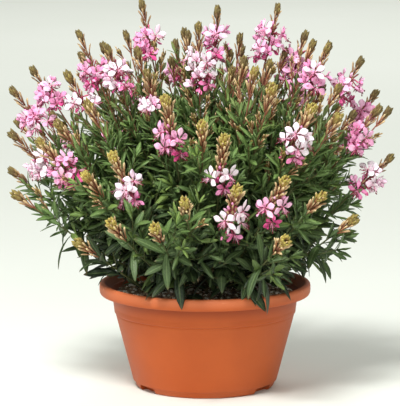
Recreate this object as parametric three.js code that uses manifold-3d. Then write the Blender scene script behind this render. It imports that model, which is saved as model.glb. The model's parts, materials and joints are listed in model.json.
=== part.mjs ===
// A potted gaura in full flower: a plastic pot, its soil, and a bush of leafy stems that fan out from one
// crown. Each stem forks into flowering shoots. A shoot ends in a spike of buds, with a bloom of four-petalled
// flowers sleeved round it below the spike.
// Millimetres, +Z up. The pot stands on z = 0 with its axis on Z, and the plant is seen from -Y.
import * as THREE from "three";
import { mergeVertices } from "three/addons/utils/BufferGeometryUtils.js";
import Module from "manifold-3d";

const wasm = await Module();
wasm.setup();

// Pot and soil, in millimetres
const POT_SIDES = 32;
const WALL = 3;
const FLOOR = 8;
const RIM_R = 125; // outside of the rolled rim
const RIM_TOP = 124.5;
const RIM_DROP = 13.5; // height of the rim's band
const NECK_R = 110.5; // wall just under the rim
const STEP_Z = 86.5; // the line where the upper wall stands proud of the lower one
const STEP_R = 106;
const STEP_DEPTH = 1.4;
const FOOT_Z = 8; // the line above the foot
const FOOT_R = 85.5;
const BASE_R = 81;
const NOTCH_TURNS = [-34, 90, 214]; // degrees round from +X: one to each side of the front, one behind
const NOTCH_WIDTH = 30;
const NOTCH_DEPTH = 8;
const NOTCH_HEIGHT = 7;
const SOIL_SIDES = 20;
const SOIL_EDGE_Z = 105;
const SOIL_CROWN_Z = 111;
const GAP = 0.35; // between pieces that touch

// Plant, in millimetres and degrees
const CROWN = new THREE.Vector3(0, 0, 66); // the point below the soil that all stems fan out from
const HOLE_FLOOR_Z = 94;
const STEM_SIDES = 5;
const STEM_R = 2.4;
const STEM_TOP_R = 1.7;
const SHOOT_SIDES = 4;
const FORK_FOOT = 50; // a shoot leaves its stem this far out from the crown,
const FORK_SHARE = 0.2; // and by this share of its own reach further,
const FORK_STEP = 6; // less this for each shoot before it
const SHOOT_FOOT_R = 1.6;
const SHOOT_R = 1.15;
const SHOOT_BENDS = [0, 0.5, 1]; // where the shoot's curve is broken into straight runs
const SHOOT_STRAIGHT = 96; // the last part of a flowering shoot, which runs straight
const BARE_STRAIGHT = 58; // the same on a shoot with only buds
const SPIKE = [
  // distance below the tip, radius
  [28, 1.15],
  [17, 3.5],
  [6, 4.4],
];
const SLEEVE_WALL = 2.4;
const SLEEVE_REACH = 5; // how far a bloom's sleeve runs past its outer flowers
const FLOWER_OUT = 13.5; // from the shoot's middle to the flower's middle
const FLOWER_NOD = 22; // degrees that a flower's face turns up along the shoot
const PETAL_TURNS = [-95, -33, 33, 95];
const PETAL_SPREAD = 19; // half the angle across a petal's broad end
const PETAL_R = 14.5;
const CLAW_R = 3;
const LEAF_STEP = 23; // between leaves along a stem
const LEAF_SHOOT_STEP = 38; // and along a shoot's curve
const LEAF_APART = 9;
const LEAF_LONG = 62;
const LEAF_SHORT = 30;
const LEAF_THICK = 1.3;
const GOLDEN = 137.5;

// The leafy stems
// Each has its heading (degrees round from +X) and its lean from upright, and its flowering shoots, given by
// their tips [x, y, z]. A flower is [distance below the tip, degrees round the shoot from the viewer's side,
// to the right if above zero].
const STEMS = [
  {
    name: "crown",
    heading: 235,
    lean: 4,
    shoots: [
      { tip: [15, 30, 450], tint: "pink", flowers: [[35, 45], [45, -45], [57, 40]] },
      { tip: [-8, -28, 436], tint: "blush", flowers: [[44, -75], [48, 45], [61, 50], [74, 0]] },
      { tip: [-25, 5, 426], flowers: [] },
      { tip: [42, 25, 418], flowers: [] },
    ],
  },
  {
    name: "left_top",
    heading: 178,
    lean: 13,
    shoots: [
      { tip: [-75, 0, 460], tint: "pink", flowers: [[46, 45], [52, -35], [66, 10]] },
      { tip: [-116, -20, 410], tint: "blush", flowers: [[34, -60], [42, 20], [52, -50]] },
      { tip: [-95, 35, 420], flowers: [] },
    ],
  },
  {
    name: "left_high",
    heading: 182,
    lean: 29,
    shoots: [
      { tip: [-150, 0, 424], tint: "pink", flowers: [[50, -50], [58, 40], [66, -70], [74, -5]] },
      { tip: [-162, -42, 380], tint: "blush", flowers: [[38, -40], [49, 10]] },
      { tip: [-206, 10, 380], tint: "pink", flowers: [[34, 45], [42, -45], [54, 10]] },
      { tip: [-150, 52, 394], flowers: [] },
      { tip: [-174, -54, 324], flowers: [] },
    ],
  },
  {
    name: "left_low",
    heading: 183,
    lean: 46,
    shoots: [
      { tip: [-230, 5, 356], tint: "pink", flowers: [[45, -60], [48, 60], [59, 0]] },
      { tip: [-230, -24, 308], tint: "blush", flowers: [[54, -60], [63, 20]] },
      { tip: [-232, -10, 262], flowers: [] },
      { tip: [-226, -52, 240], flowers: [] },
    ],
  },
  {
    name: "left_front",
    heading: 213,
    lean: 38,
    shoots: [
      { tip: [-194, -82, 306], tint: "pink", flowers: [[42, 60], [54, -30], [62, 45]] },
      { tip: [-108, -126, 296], tint: "blush", flowers: [[49, 35], [54, -65], [70, -5]] },
      { tip: [-138, -72, 350], flowers: [] },
    ],
  },
  {
    name: "left_base",
    heading: 208,
    lean: 56,
    shoots: [{ tip: [-152, -82, 188], flowers: [] }],
  },
  {
    name: "front_high",
    heading: 238,
    lean: 20,
    shoots: [
      { tip: [-46, -112, 360], tint: "pink", flowers: [[46, -65], [55, 35], [64, -25], [73, 30]] },
      { tip: [-68, -58, 384], tint: "blush", flowers: [[44, -70], [54, -20]] },
    ],
  },
  {
    name: "front_middle",
    heading: 274,
    lean: 30,
    shoots: [
      { tip: [22, -152, 320], tint: "blush", flowers: [[53, 45], [60, -60], [70, 0]] },
      { tip: [-4, -138, 334], flowers: [] },
    ],
  },
  {
    name: "front_low_left",
    heading: 250,
    lean: 50,
    shoots: [
      { tip: [-58, -195, 224], flowers: [] },
      { tip: [-24, -188, 252], flowers: [] },
      { tip: [-110, -150, 222], flowers: [] },
    ],
  },
  {
    name: "front_low_right",
    heading: 290,
    lean: 46,
    shoots: [
      { tip: [36, -186, 266], tint: "blush", flowers: [[36, 60], [52, -25], [60, 50], [75, 10]] },
      { tip: [92, -166, 274], tint: "pink", flowers: [[40, 55], [49, -30], [66, 35]] },
      { tip: [92, -190, 208], flowers: [] },
    ],
  },
  {
    name: "right_front",
    heading: 326,
    lean: 48,
    shoots: [
      { tip: [136, -128, 250], flowers: [] },
      { tip: [178, -72, 214], flowers: [] },
    ],
  },
  {
    name: "right_middle",
    heading: 321,
    lean: 31,
    shoots: [
      { tip: [124, -110, 350], tint: "blush", flowers: [[40, -20], [50, 50], [54, -60], [68, 0]] },
      { tip: [156, -84, 336], flowers: [] },
    ],
  },
  {
    name: "right_inner",
    heading: 308,
    lean: 17,
    shoots: [
      { tip: [58, -72, 388], flowers: [] },
    ],
  },
  {
    name: "right_top",
    heading: 357,
    lean: 13,
    shoots: [
      { tip: [86, 0, 455], tint: "pink", flowers: [[35, -50], [38, 45], [50, 25], [56, -55], [68, -20]] },
      { tip: [76, -24, 392], flowers: [] },
    ],
  },
  {
    name: "right_high",
    heading: 356,
    lean: 25,
    shoots: [
      { tip: [120, 22, 421], tint: "pink", flowers: [[34, -40], [44, 50], [56, -45]] },
      { tip: [146, -24, 412], tint: "pink", flowers: [[40, -20], [56, 20]] },
      { tip: [186, 2, 392], tint: "pink", flowers: [[34, 50], [42, -40], [54, 20]] },
      { tip: [158, -48, 366], flowers: [] },
    ],
  },
  {
    name: "right_low",
    heading: 0,
    lean: 41,
    shoots: [
      { tip: [206, 34, 350], tint: "pink", flowers: [[34, -40], [46, 45]] },
      { tip: [206, -26, 338], tint: "pink", flowers: [[42, 40], [58, -10]] },
      { tip: [222, -14, 278], tint: "blush", flowers: [[34, -45], [42, 45], [60, 0]] },
    ],
  },
  {
    name: "back_right_high",
    heading: 58,
    lean: 22,
    shoots: [
      { tip: [45, 78, 400], tint: "pink", flowers: [[38, 160], [50, 110]] },
      { tip: [42, 154, 366], tint: "blush", flowers: [[40, 180], [52, 130]] },
      { tip: [120, 100, 374], tint: "pink", flowers: [[38, 150], [50, 100]] },
    ],
  },
  {
    name: "back_left_high",
    heading: 120,
    lean: 22,
    shoots: [
      { tip: [-36, 78, 406], tint: "pink", flowers: [[38, -160], [50, -110]] },
      { tip: [-98, 116, 376], tint: "blush", flowers: [[40, -150], [52, 170]] },
    ],
  },
  {
    name: "back_right_low",
    heading: 42,
    lean: 46,
    shoots: [
      { tip: [194, 112, 315], tint: "pink", flowers: [[40, 140], [52, 90]] },
      { tip: [130, 185, 292], tint: "blush", flowers: [[40, 180], [54, 130]] },
      { tip: [164, 148, 222], flowers: [] },
    ],
  },
  {
    name: "back_low",
    heading: 91,
    lean: 46,
    shoots: [
      { tip: [32, 218, 310], tint: "pink", flowers: [[40, 160], [52, -170]] },
      { tip: [-40, 226, 260], tint: "blush", flowers: [[40, -150], [54, 170]] },
    ],
  },
  {
    name: "back_left_low",
    heading: 138,
    lean: 46,
    shoots: [
      { tip: [-126, 180, 312], tint: "pink", flowers: [[40, -170], [52, -120]] },
      { tip: [-190, 120, 315], tint: "blush", flowers: [[40, -140], [52, -90]] },
      { tip: [-168, 140, 214], flowers: [] },
    ],
  },
];

// Small helpers
const radians = THREE.MathUtils.degToRad;
const UP = new THREE.Vector3(0, 0, 1);
const FRONT = new THREE.Vector3(0, -1, 0);

// A repeatable number from 0 to 1 for each triple of whole numbers.
function chance(a, b, c) {
  let n = (a * 7919 + b * 104729 + c * 1299721 + 12345) % 2147483647;
  for (let i = 0; i < 3; i++) n = (n * 16807) % 2147483647;
  return n / 2147483647;
}

function direction(heading, lean) {
  const h = radians(heading);
  const l = radians(lean);
  return new THREE.Vector3(Math.sin(l) * Math.cos(h), Math.sin(l) * Math.sin(h), Math.cos(l));
}

function along(start, way, distance) {
  return start.clone().addScaledVector(way, distance);
}

// The part of a vector that is square to an axis, at length 1.
function squareTo(vector, axis) {
  return vector.clone().addScaledVector(axis, -vector.dot(axis)).normalize();
}

function solidOf(points, triangles) {
  const vertProperties = new Float32Array(points.flatMap((p) => p.toArray()));
  const triVerts = new Uint32Array(triangles.flat());
  return new wasm.Manifold(new wasm.Mesh({ numProp: 3, vertProperties, triVerts }));
}

// A three.js geometry as a solid, with its shared vertices merged and its collapsed triangles dropped.
function solidFrom(geometry) {
  geometry.deleteAttribute("normal");
  geometry.deleteAttribute("uv");
  const merged = mergeVertices(geometry, 1e-4);
  const points = [];
  const triangles = [];
  for (let i = 0; i < merged.attributes.position.count; i++) {
    points.push(new THREE.Vector3().fromBufferAttribute(merged.attributes.position, i));
  }
  for (let i = 0; i < merged.index.count; i += 3) {
    const [a, b, c] = merged.index.array.subarray(i, i + 3);
    if (a !== b && b !== c && c !== a) triangles.push([a, b, c]);
  }
  return solidOf(points, triangles);
}

function meshOf(name, solid, material) {
  const { vertProperties, triVerts } = solid.getMesh();
  const geometry = new THREE.BufferGeometry();
  geometry.setAttribute("position", new THREE.BufferAttribute(vertProperties, 3));
  geometry.setIndex(new THREE.BufferAttribute(triVerts, 1));
  const mesh = new THREE.Mesh(geometry, material);
  mesh.name = name;
  return mesh;
}

// A closed solid through rings of points that run anticlockwise about the way they advance. A ring may be a
// single point at either end. Looped rings join back to the first, and others are capped.
function skin(rings, looped = false) {
  const points = rings.flat();
  const starts = rings.map((_, i) => rings.slice(0, i).flat().length);
  const triangles = [];
  const last = rings.length - 1;
  for (let i = 0; i < (looped ? rings.length : last); i++) {
    const j = (i + 1) % rings.length;
    const n = rings[i].length;
    const m = rings[j].length;
    for (let k = 0; k < Math.max(n, m); k++) {
      const a = starts[i] + (k % n);
      const b = starts[i] + ((k + 1) % n);
      const c = starts[j] + (k % m);
      const d = starts[j] + ((k + 1) % m);
      if (n > 1) triangles.push([a, b, d]);
      if (m > 1) triangles.push([a, d, c]);
    }
  }
  if (!looped) {
    for (let k = 1; k < rings[0].length - 1; k++) triangles.push([starts[0], k + 1, k]);
    for (let k = 1; k < rings[last].length - 1; k++) {
      triangles.push([starts[last], starts[last] + k, starts[last] + k + 1]);
    }
  }
  return solidOf(points, triangles);
}

// A ring of points about a centre, in the plane square to the axis.
function ring(centre, axis, radius, sides, turn = 0) {
  const side = squareTo(FRONT, axis);
  const other = axis.clone().cross(side);
  return Array.from({ length: sides }, (_, k) => {
    const angle = radians(turn + (360 * k) / sides);
    return along(along(centre, side, radius * Math.cos(angle)), other, radius * Math.sin(angle));
  });
}

// Room for each stem
// Every stem keeps to its own cone of space, which runs out from the crown, so that no two stems cross.
const WAYS = STEMS.map((stem) => direction(stem.heading, stem.lean));
const ROOM = 0.4; // from a leaf or petal to the side of the cone

function inCone(point, own) {
  const out = point.clone().sub(CROWN);
  return WAYS.every((way, i) => {
    if (i === own) return true;
    return out.dot(WAYS[own].clone().sub(way).normalize()) > ROOM;
  });
}

// Clear of the soil and of the pot's rim.
function aboveGround(point) {
  const r = Math.hypot(point.x, point.y);
  if (r < RIM_R - 18) return point.z > SOIL_CROWN_Z + 4;
  if (r < RIM_R + 3) return point.z > RIM_TOP + 1.5;
  return point.z > 70;
}

function distanceToLine(point, start, end) {
  return new THREE.Line3(start, end).closestPointToPoint(point, true, new THREE.Vector3()).distanceTo(point);
}

// Shoots
// A shoot leaves its stem in a curve and then runs straight out from the crown to its tip.
function layOutShoot(stem, number) {
  const tip = new THREE.Vector3(...stem.shoots[number].tip);
  const axis = tip.clone().sub(CROWN).normalize();
  const reach = tip.distanceTo(CROWN);
  const straight = stem.shoots[number].flowers.length ? SHOOT_STRAIGHT : BARE_STRAIGHT;
  const neck = reach - straight;
  const fork = FORK_FOOT + FORK_SHARE * reach - FORK_STEP * number;
  const bend = new THREE.QuadraticBezierCurve3(
    along(CROWN, stem.way, fork),
    along(CROWN, axis, fork + (neck - fork) * 0.5),
    along(CROWN, axis, neck),
  );
  const path = SHOOT_BENDS.map((t) => bend.getPoint(t));
  return { tip, axis, straight, fork, path, front: squareTo(FRONT, axis) };
}

// A place on the bent part of a shoot, with its direction there. The share runs from 0 at the fork to 1.
function onPath(shoot, share) {
  const runs = shoot.path.length - 1;
  const run = Math.min(Math.floor(share * runs), runs - 1);
  const [start, end] = [shoot.path[run], shoot.path[run + 1]];
  return {
    place: start.clone().lerp(end, share * runs - run),
    axis: end.clone().sub(start).normalize(),
  };
}

function shootSolid(shoot, number) {
  const rings = shoot.path.map((centre, i) => {
    const t = SHOOT_BENDS[i];
    const heading = t === 1 ? shoot.axis : onPath(shoot, t).axis;
    return ring(centre, heading, THREE.MathUtils.lerp(SHOOT_FOOT_R, SHOOT_R, t), SHOOT_SIDES);
  });
  SPIKE.forEach(([down, radius], i) => {
    const size = radius * (0.9 + 0.2 * chance(number, i, 3));
    rings.push(ring(along(shoot.tip, shoot.axis, -down), shoot.axis, size, SHOOT_SIDES, i ? 45 * i : 0));
  });
  rings.push([shoot.tip]);
  return skin(rings);
}

// A slender bud on the shoot, pointing up and out.
function budSolid(shoot, down, turn) {
  const root = along(shoot.tip, shoot.axis, -down);
  const out = facing(shoot, turn);
  const way = shoot.axis.clone().multiplyScalar(0.85).addScaledVector(out, 0.52).normalize();
  return skin([[root], ring(along(root, way, 7), way, 1.7, 3), [along(root, way, 16)]]);
}

// The way that a flower faces, square to the shoot.
function facing(shoot, turn) {
  const right = shoot.axis.clone().cross(shoot.front);
  const t = radians(turn);
  return shoot.front.clone().multiplyScalar(Math.cos(t)).addScaledVector(right, Math.sin(t));
}

// Flowers
function layOutFlower(shoot, down, turn) {
  const foot = along(shoot.tip, shoot.axis, -down);
  const out = facing(shoot, turn);
  const nod = radians(FLOWER_NOD);
  const face = out.clone().multiplyScalar(Math.cos(nod)).addScaledVector(shoot.axis, Math.sin(nod));
  const up = squareTo(shoot.axis, face);
  return { foot, out, face, up, right: up.clone().cross(face), centre: along(foot, out, FLOWER_OUT) };
}

function onFlower(flower, turn, radius, height) {
  const t = radians(turn);
  return flower.centre
    .clone()
    .addScaledVector(flower.up, radius * Math.cos(t))
    .addScaledVector(flower.right, radius * Math.sin(t))
    .addScaledVector(flower.face, height);
}

// Points spread over a flower's petals, to keep other things off it.
function petalPoints(flower) {
  return PETAL_TURNS.flatMap((turn) => [5, 10, 15.5].map((radius) => onFlower(flower, turn, radius, 0)));
}

// Four petals round a raised middle, with a funnel behind that runs into the sleeve.
function flowerSolid(flower, twist) {
  const rim = [onFlower(flower, 180, CLAW_R, 0)];
  PETAL_TURNS.forEach((turn, i) => {
    if (i > 0) rim.push(onFlower(flower, (turn + PETAL_TURNS[i - 1]) / 2, CLAW_R, 0));
    rim.push(onFlower(flower, turn + twist - PETAL_SPREAD, PETAL_R, 0.6));
    rim.push(onFlower(flower, turn + twist + PETAL_SPREAD, PETAL_R, 0.6));
  });
  const collar = [180, -60, 60].map((turn) => onFlower(flower, turn, 1.6, -3.2));
  const root = along(flower.foot, flower.out, 2.35);
  const stalk = [180, -60, 60].map((turn) => {
    const spoke = onFlower(flower, turn, 1, 0).sub(flower.centre);
    return root.clone().add(squareTo(spoke, flower.out).multiplyScalar(0.8));
  });
  const points = [...rim, ...collar, ...stalk, onFlower(flower, 0, 0, 1)];
  const n = rim.length;
  const middle = n + 6;
  const triangles = [];
  const nearest = (k) => (k <= 0 || k >= n ? 0 : k * 3 < n * 1.5 ? 1 : 2);
  for (let k = 0; k < n; k++) {
    const next = (k + 1) % n;
    triangles.push([middle, next, k]);
    const collarHere = n + nearest(k);
    const collarNext = n + nearest(k + 1);
    triangles.push([k, next, collarHere]);
    if (collarNext !== collarHere) triangles.push([next, collarNext, collarHere]);
  }
  for (let k = 0; k < 3; k++) {
    const next = (k + 1) % 3;
    triangles.push([n + k, n + next, n + 3 + next], [n + k, n + 3 + next, n + 3 + k]);
  }
  triangles.push([n + 3, n + 4, n + 5]);
  return solidOf(points, triangles);
}

// The ring of green and pink calyxes round the shoot, which carries the flowers.
function sleeveSolid(shoot, flowers) {
  const downs = flowers.map((flower) => flower.down);
  const low = along(shoot.tip, shoot.axis, -Math.max(...downs) - SLEEVE_REACH);
  const high = along(shoot.tip, shoot.axis, -Math.min(...downs) + SLEEVE_REACH);
  const inner = SHOOT_R + 0.1 + Math.SQRT2 * GAP;
  const outer = inner + SLEEVE_WALL;
  const { axis } = shoot;
  return skin(
    [
      ring(low, axis, outer, SHOOT_SIDES),
      ring(high, axis, outer, SHOOT_SIDES),
      ring(high, axis, inner, SHOOT_SIDES),
      ring(low, axis, inner, SHOOT_SIDES),
    ],
    true,
  );
}

// Leaves
// A leaf is a thin lens with a pointed outline, wider below its middle and arched along its length.
function layOutLeaf(root, way, normal, length, width, arch) {
  const side = way.clone().cross(normal).normalize();
  const at = (share, across, height) => {
    const sink = arch * length * share * share;
    return along(along(along(root, way, length * share), side, (across * width) / 2), normal, height - sink);
  };
  return {
    rim: [at(0, 0, 0), at(0.42, 1, 0), at(1, 0, 0), at(0.42, -1, 0)],
    top: at(0.42, 0, LEAF_THICK * 0.4),
    bottom: at(0.42, 0, -LEAF_THICK * 0.6),
    line: [0.3, 0.5, 0.7, 0.85, 1].map((share) => at(share, 0, 0)),
  };
}

function leafSolid(leaf) {
  const triangles = [];
  for (let k = 0; k < 4; k++) {
    const next = (k + 1) % 4;
    triangles.push([4, k, next], [5, next, k]);
  }
  return solidOf([...leaf.rim, leaf.top, leaf.bottom], triangles);
}

// Filling each stem's cone: shoots first, then flowers, then leaves round them
const FLOWER_TRIES = [0, 25, -25, 50, -50, 80, -80, 120, -120, 180];
const LEAF_TRIES = [0, 35, -35, 70, -70, 105, -105, 140, -140, 180];

function placeFlowers(stem, number) {
  const placed = [];
  stem.shoots.forEach((given, i) => {
    const shoot = stem.laid[i];
    const others = stem.laid.filter((other) => other !== shoot);
    shoot.flowers = [];
    given.flowers.forEach(([down, turn]) => {
      const strangers = [...placed, ...shoot.flowers].flatMap((flower) => flower.points);
      for (const change of FLOWER_TRIES) {
        const flower = layOutFlower(shoot, down, turn + change);
        flower.down = down;
        flower.points = petalPoints(flower);
        const clear = flower.points.every(
          (point) =>
            inCone(point, number) &&
            others.every((other) => distanceToShoot(point, other) > 9) &&
            strangers.every((stranger) => stranger.distanceTo(point) > 4.5),
        );
        if (!clear) continue;
        shoot.flowers.push(flower);
        return;
      }
    });
    placed.push(...shoot.flowers);
  });
  return placed;
}

function distanceToShoot(point, shoot) {
  const neck = along(shoot.tip, shoot.axis, -shoot.straight);
  return distanceToLine(point, neck, shoot.tip);
}

// The places on a stem that carry leaves: up its own length, and then up the curve of each shoot.
function leafPlaces(stem) {
  const places = [];
  const top = Math.max(...stem.laid.map((shoot) => shoot.fork));
  const foot = 52 / stem.way.z;
  for (let s = foot; s < top; s += LEAF_STEP) {
    places.push({ root: along(CROWN, stem.way, s), axis: stem.way, height: s });
  }
  stem.laid.forEach((shoot) => {
    const length = shoot.path[0].distanceTo(shoot.path[shoot.path.length - 1]);
    const count = Math.floor(length / LEAF_SHOOT_STEP);
    for (let k = 1; k <= count; k++) {
      const { place, axis } = onPath(shoot, (k - 0.3) / count);
      places.push({ root: place, axis, height: place.distanceTo(CROWN) });
    }
  });
  return places;
}

function placeLeaves(stem, number, flowers) {
  const keepOff = flowers.flatMap((flower) => [...flower.points, flower.foot, flower.centre]);
  const leaves = [];
  leafPlaces(stem).forEach(({ root, axis, height }, k) => {
    const share = THREE.MathUtils.clamp((height - 60) / 190, 0, 1);
    const full = THREE.MathUtils.lerp(LEAF_LONG, LEAF_SHORT, share) * (0.88 + 0.24 * chance(number, k, 1));
    const tilt = radians(THREE.MathUtils.lerp(58, 40, share) + 10 * (chance(number, k, 2) - 0.5));
    const side = squareTo(FRONT, axis);
    const other = axis.clone().cross(side);
    for (const size of [1, 0.75, 0.55]) {
      for (const change of LEAF_TRIES) {
        const turn = radians(GOLDEN * k + 40 * number + change);
        const out = side.clone().multiplyScalar(Math.cos(turn)).addScaledVector(other, Math.sin(turn));
        const way = axis.clone().multiplyScalar(Math.cos(tilt)).addScaledVector(out, Math.sin(tilt));
        const leaf = layOutLeaf(root, way, squareTo(axis, way), full * size, full * size * 0.19, 0.14);
        const clear = [...leaf.rim.slice(1), leaf.top, leaf.bottom, ...leaf.line].every(
          (point) =>
            inCone(point, number) &&
            aboveGround(point) &&
            keepOff.every((petal) => petal.distanceTo(point) > 7),
        );
        if (!clear || !leafApart(leaf, leaves, stem, root)) continue;
        leaves.push(leaf);
        return;
      }
    }
  });
  return leaves;
}

// Whether a leaf's middle line keeps off the stem's other leaves and the shoots that it doesn't grow from.
function leafApart(leaf, leaves, stem, root) {
  return leaf.line.every(
    (point) =>
      leaves.every((other) => other.line.every((near) => near.distanceTo(point) > LEAF_APART)) &&
      stem.laid.every((shoot) =>
        shoot.samples.every((near) => near.distanceTo(point) > 4 || near.distanceTo(root) < 5),
      ),
  );
}

function stemSolid(stem, number, leaves) {
  const start = (HOLE_FLOOR_Z + GAP - CROWN.z) / stem.way.z;
  const top = Math.max(...stem.laid.map((shoot) => shoot.fork)) + 4;
  const pieces = [
    skin([
      ring(along(CROWN, stem.way, start), stem.way, STEM_R, STEM_SIDES),
      ring(along(CROWN, stem.way, top), stem.way, STEM_TOP_R, STEM_SIDES),
    ]),
  ];
  stem.laid.forEach((shoot, i) => {
    pieces.push(shootSolid(shoot, 10 * number + i));
    if (shoot.flowers.length) return;
    const turn = 360 * chance(number, i, 5);
    pieces.push(budSolid(shoot, 40, turn));
  });
  leaves.forEach((leaf) => pieces.push(leafSolid(leaf)));
  return wasm.Manifold.union(pieces);
}

// The pot
function potSolid() {
  const taper = (z) => THREE.MathUtils.mapLinear(z, FOOT_Z, STEP_Z, FOOT_R, STEP_R);
  const bandFoot = RIM_TOP - RIM_DROP;
  const outside = [
    [0, 0],
    [BASE_R - 3, 0],
    [BASE_R, 1],
    [FOOT_R - 1.6, FOOT_Z - 1],
    [FOOT_R, FOOT_Z],
    [taper(STEP_Z), STEP_Z],
    [taper(STEP_Z) + STEP_DEPTH, STEP_Z + 1],
    [NECK_R, bandFoot - 1],
    [RIM_R - 2, bandFoot],
    [RIM_R, bandFoot + 3.5],
    [RIM_R, RIM_TOP - 4],
    [RIM_R - 2, RIM_TOP - 0.8],
    [RIM_R - 4.5, RIM_TOP],
    [RIM_R - 8.5, RIM_TOP - 2.5],
  ];
  const inside = [
    [NECK_R - WALL, bandFoot - 1],
    [FOOT_R - WALL, FLOOR + 3],
    [FOOT_R - WALL - 3, FLOOR],
    [0, FLOOR],
  ];
  const profile = [...outside, ...inside, outside[0]].map(([r, z]) => new THREE.Vector2(r, z));
  const pot = solidFrom(new THREE.LatheGeometry(profile, POT_SIDES).rotateX(Math.PI / 2));
  return NOTCH_TURNS.reduce((body, turn) => body.subtract(notchSolid(turn)), pot);
}

// A drainage notch across the bottom corner.
function notchSolid(turn) {
  const reach = NOTCH_DEPTH + 10;
  const block = new THREE.BoxGeometry(reach, NOTCH_WIDTH, 2 * NOTCH_HEIGHT);
  block.translate(BASE_R - NOTCH_DEPTH + reach / 2, 0, 0);
  block.rotateZ(radians(turn));
  return solidFrom(block);
}

// The soil
// It fills the pot to a low, rough mound, with a plain hole for each stem.
function soilSolid() {
  const fit = WALL + GAP;
  const slope = (NECK_R - FOOT_R) / (RIM_TOP - RIM_DROP - 1 - FLOOR - 3);
  const radiusAt = (z) => FOOT_R - fit + slope * (z - FLOOR - 3) - 0.4;
  const profile = [
    [0, FLOOR + GAP],
    [FOOT_R - fit - 4, FLOOR + GAP],
    [FOOT_R - fit - 0.6, FLOOR + 3.6],
    [radiusAt(SOIL_EDGE_Z), SOIL_EDGE_Z],
    [94, SOIL_EDGE_Z + 1.5],
    [74, 0.5 * (SOIL_EDGE_Z + SOIL_CROWN_Z)],
    [45, SOIL_CROWN_Z - 1],
    [0, SOIL_CROWN_Z],
    [0, FLOOR + GAP],
  ].map(([r, z]) => new THREE.Vector2(r, z));
  const ground = new THREE.LatheGeometry(profile, SOIL_SIDES).rotateX(Math.PI / 2);
  const place = ground.attributes.position;
  for (let i = 0; i < place.count; i++) {
    const r = Math.hypot(place.getX(i), place.getY(i));
    if (place.getZ(i) < SOIL_EDGE_Z + 1 || r < 1) continue;
    place.setZ(i, place.getZ(i) + 1.6 * Math.sin(0.21 * place.getX(i)) * Math.cos(0.17 * place.getY(i)));
  }
  const holes = WAYS.map((way) => {
    const start = (HOLE_FLOOR_Z - CROWN.z) / way.z;
    const radius = STEM_R + 2 * GAP;
    return skin([
      ring(along(CROWN, way, start), way, radius, STEM_SIDES),
      ring(along(CROWN, way, start + 45), way, radius, STEM_SIDES),
    ]);
  });
  return solidFrom(ground).subtract(wasm.Manifold.union(holes));
}

// Materials and assembly
const materials = {};
function finish(slot, color, roughness) {
  materials[slot] = new THREE.MeshStandardMaterial({ name: slot, color, roughness, metalness: 0 });
}
finish("terracotta_plastic", 0xc8653a, 0.55);
finish("soil", 0x33261c, 0.95);
finish("foliage", 0x4c7a3a, 0.7);
finish("blush_petal", 0xf3dde6, 0.6);
finish("pink_petal", 0xe58bb4, 0.6);

const plant = new THREE.Group();
const planter = new THREE.Group();
planter.add(meshOf("pot", potSolid(), materials.terracotta_plastic));
planter.add(meshOf("soil", soilSolid(), materials.soil));

STEMS.forEach((stem, number) => {
  stem.way = WAYS[number];
  stem.laid = stem.shoots.map((_, i) => layOutShoot(stem, i));
  stem.laid.forEach((shoot) => {
    const bent = [0, 0.2, 0.4, 0.6, 0.8, 1].map((share) => onPath(shoot, share).place);
    const straight = [0.8, 0.65, 0.5].map((share) => along(shoot.tip, shoot.axis, -share * shoot.straight));
    shoot.samples = [...bent, ...straight];
  });
  const flowers = placeFlowers(stem, number);
  const leaves = placeLeaves(stem, number, flowers);
  plant.add(meshOf(`stem_${stem.name}`, stemSolid(stem, number, leaves), materials.foliage));
  stem.laid.forEach((shoot, i) => {
    if (!shoot.flowers.length) return;
    const pieces = shoot.flowers.map((flower, k) => flowerSolid(flower, 8 * (chance(number, i, k) - 0.5)));
    const bloom = wasm.Manifold.union([sleeveSolid(shoot, shoot.flowers), ...pieces]);
    const tint = materials[`${stem.shoots[i].tint}_petal`];
    plant.add(meshOf(`bloom_${stem.name}_${i + 1}`, bloom, tint));
  });
});

const group = new THREE.Group();
group.add(planter, plant);
export default group;
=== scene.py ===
"""The finished looks of a potted gaura: a plastic pot, its soil, and a bush of leafy stems in flower.

The plan of the plant is the one in the part's source, in millimetres: stems fan out from one crown, fork
into shoots, and carry leaves and four-petalled flowers at the same places. Each leafy stem and each bloom
is built finer here, with more leaves, buds and flowers, and stands for its plain solid.
"""

import json
import math

import bmesh
import bpy
import numpy as np
from mathutils import Matrix, Vector, noise

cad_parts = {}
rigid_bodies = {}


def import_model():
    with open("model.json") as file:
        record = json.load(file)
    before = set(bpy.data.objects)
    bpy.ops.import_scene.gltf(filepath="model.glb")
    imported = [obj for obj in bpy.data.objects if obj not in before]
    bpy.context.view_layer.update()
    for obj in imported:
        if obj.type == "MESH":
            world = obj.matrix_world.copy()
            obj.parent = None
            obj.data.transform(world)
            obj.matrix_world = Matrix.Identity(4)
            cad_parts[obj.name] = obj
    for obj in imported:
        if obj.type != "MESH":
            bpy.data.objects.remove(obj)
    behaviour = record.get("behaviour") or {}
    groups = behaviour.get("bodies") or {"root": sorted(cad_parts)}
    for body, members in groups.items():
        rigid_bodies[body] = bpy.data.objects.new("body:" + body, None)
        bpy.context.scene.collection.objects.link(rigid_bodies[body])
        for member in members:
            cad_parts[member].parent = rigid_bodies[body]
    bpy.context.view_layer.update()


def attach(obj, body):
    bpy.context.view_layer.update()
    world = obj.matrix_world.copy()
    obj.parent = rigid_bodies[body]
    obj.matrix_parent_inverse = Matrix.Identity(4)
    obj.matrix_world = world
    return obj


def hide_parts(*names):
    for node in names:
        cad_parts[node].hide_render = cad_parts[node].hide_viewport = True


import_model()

MM = 0.001

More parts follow.
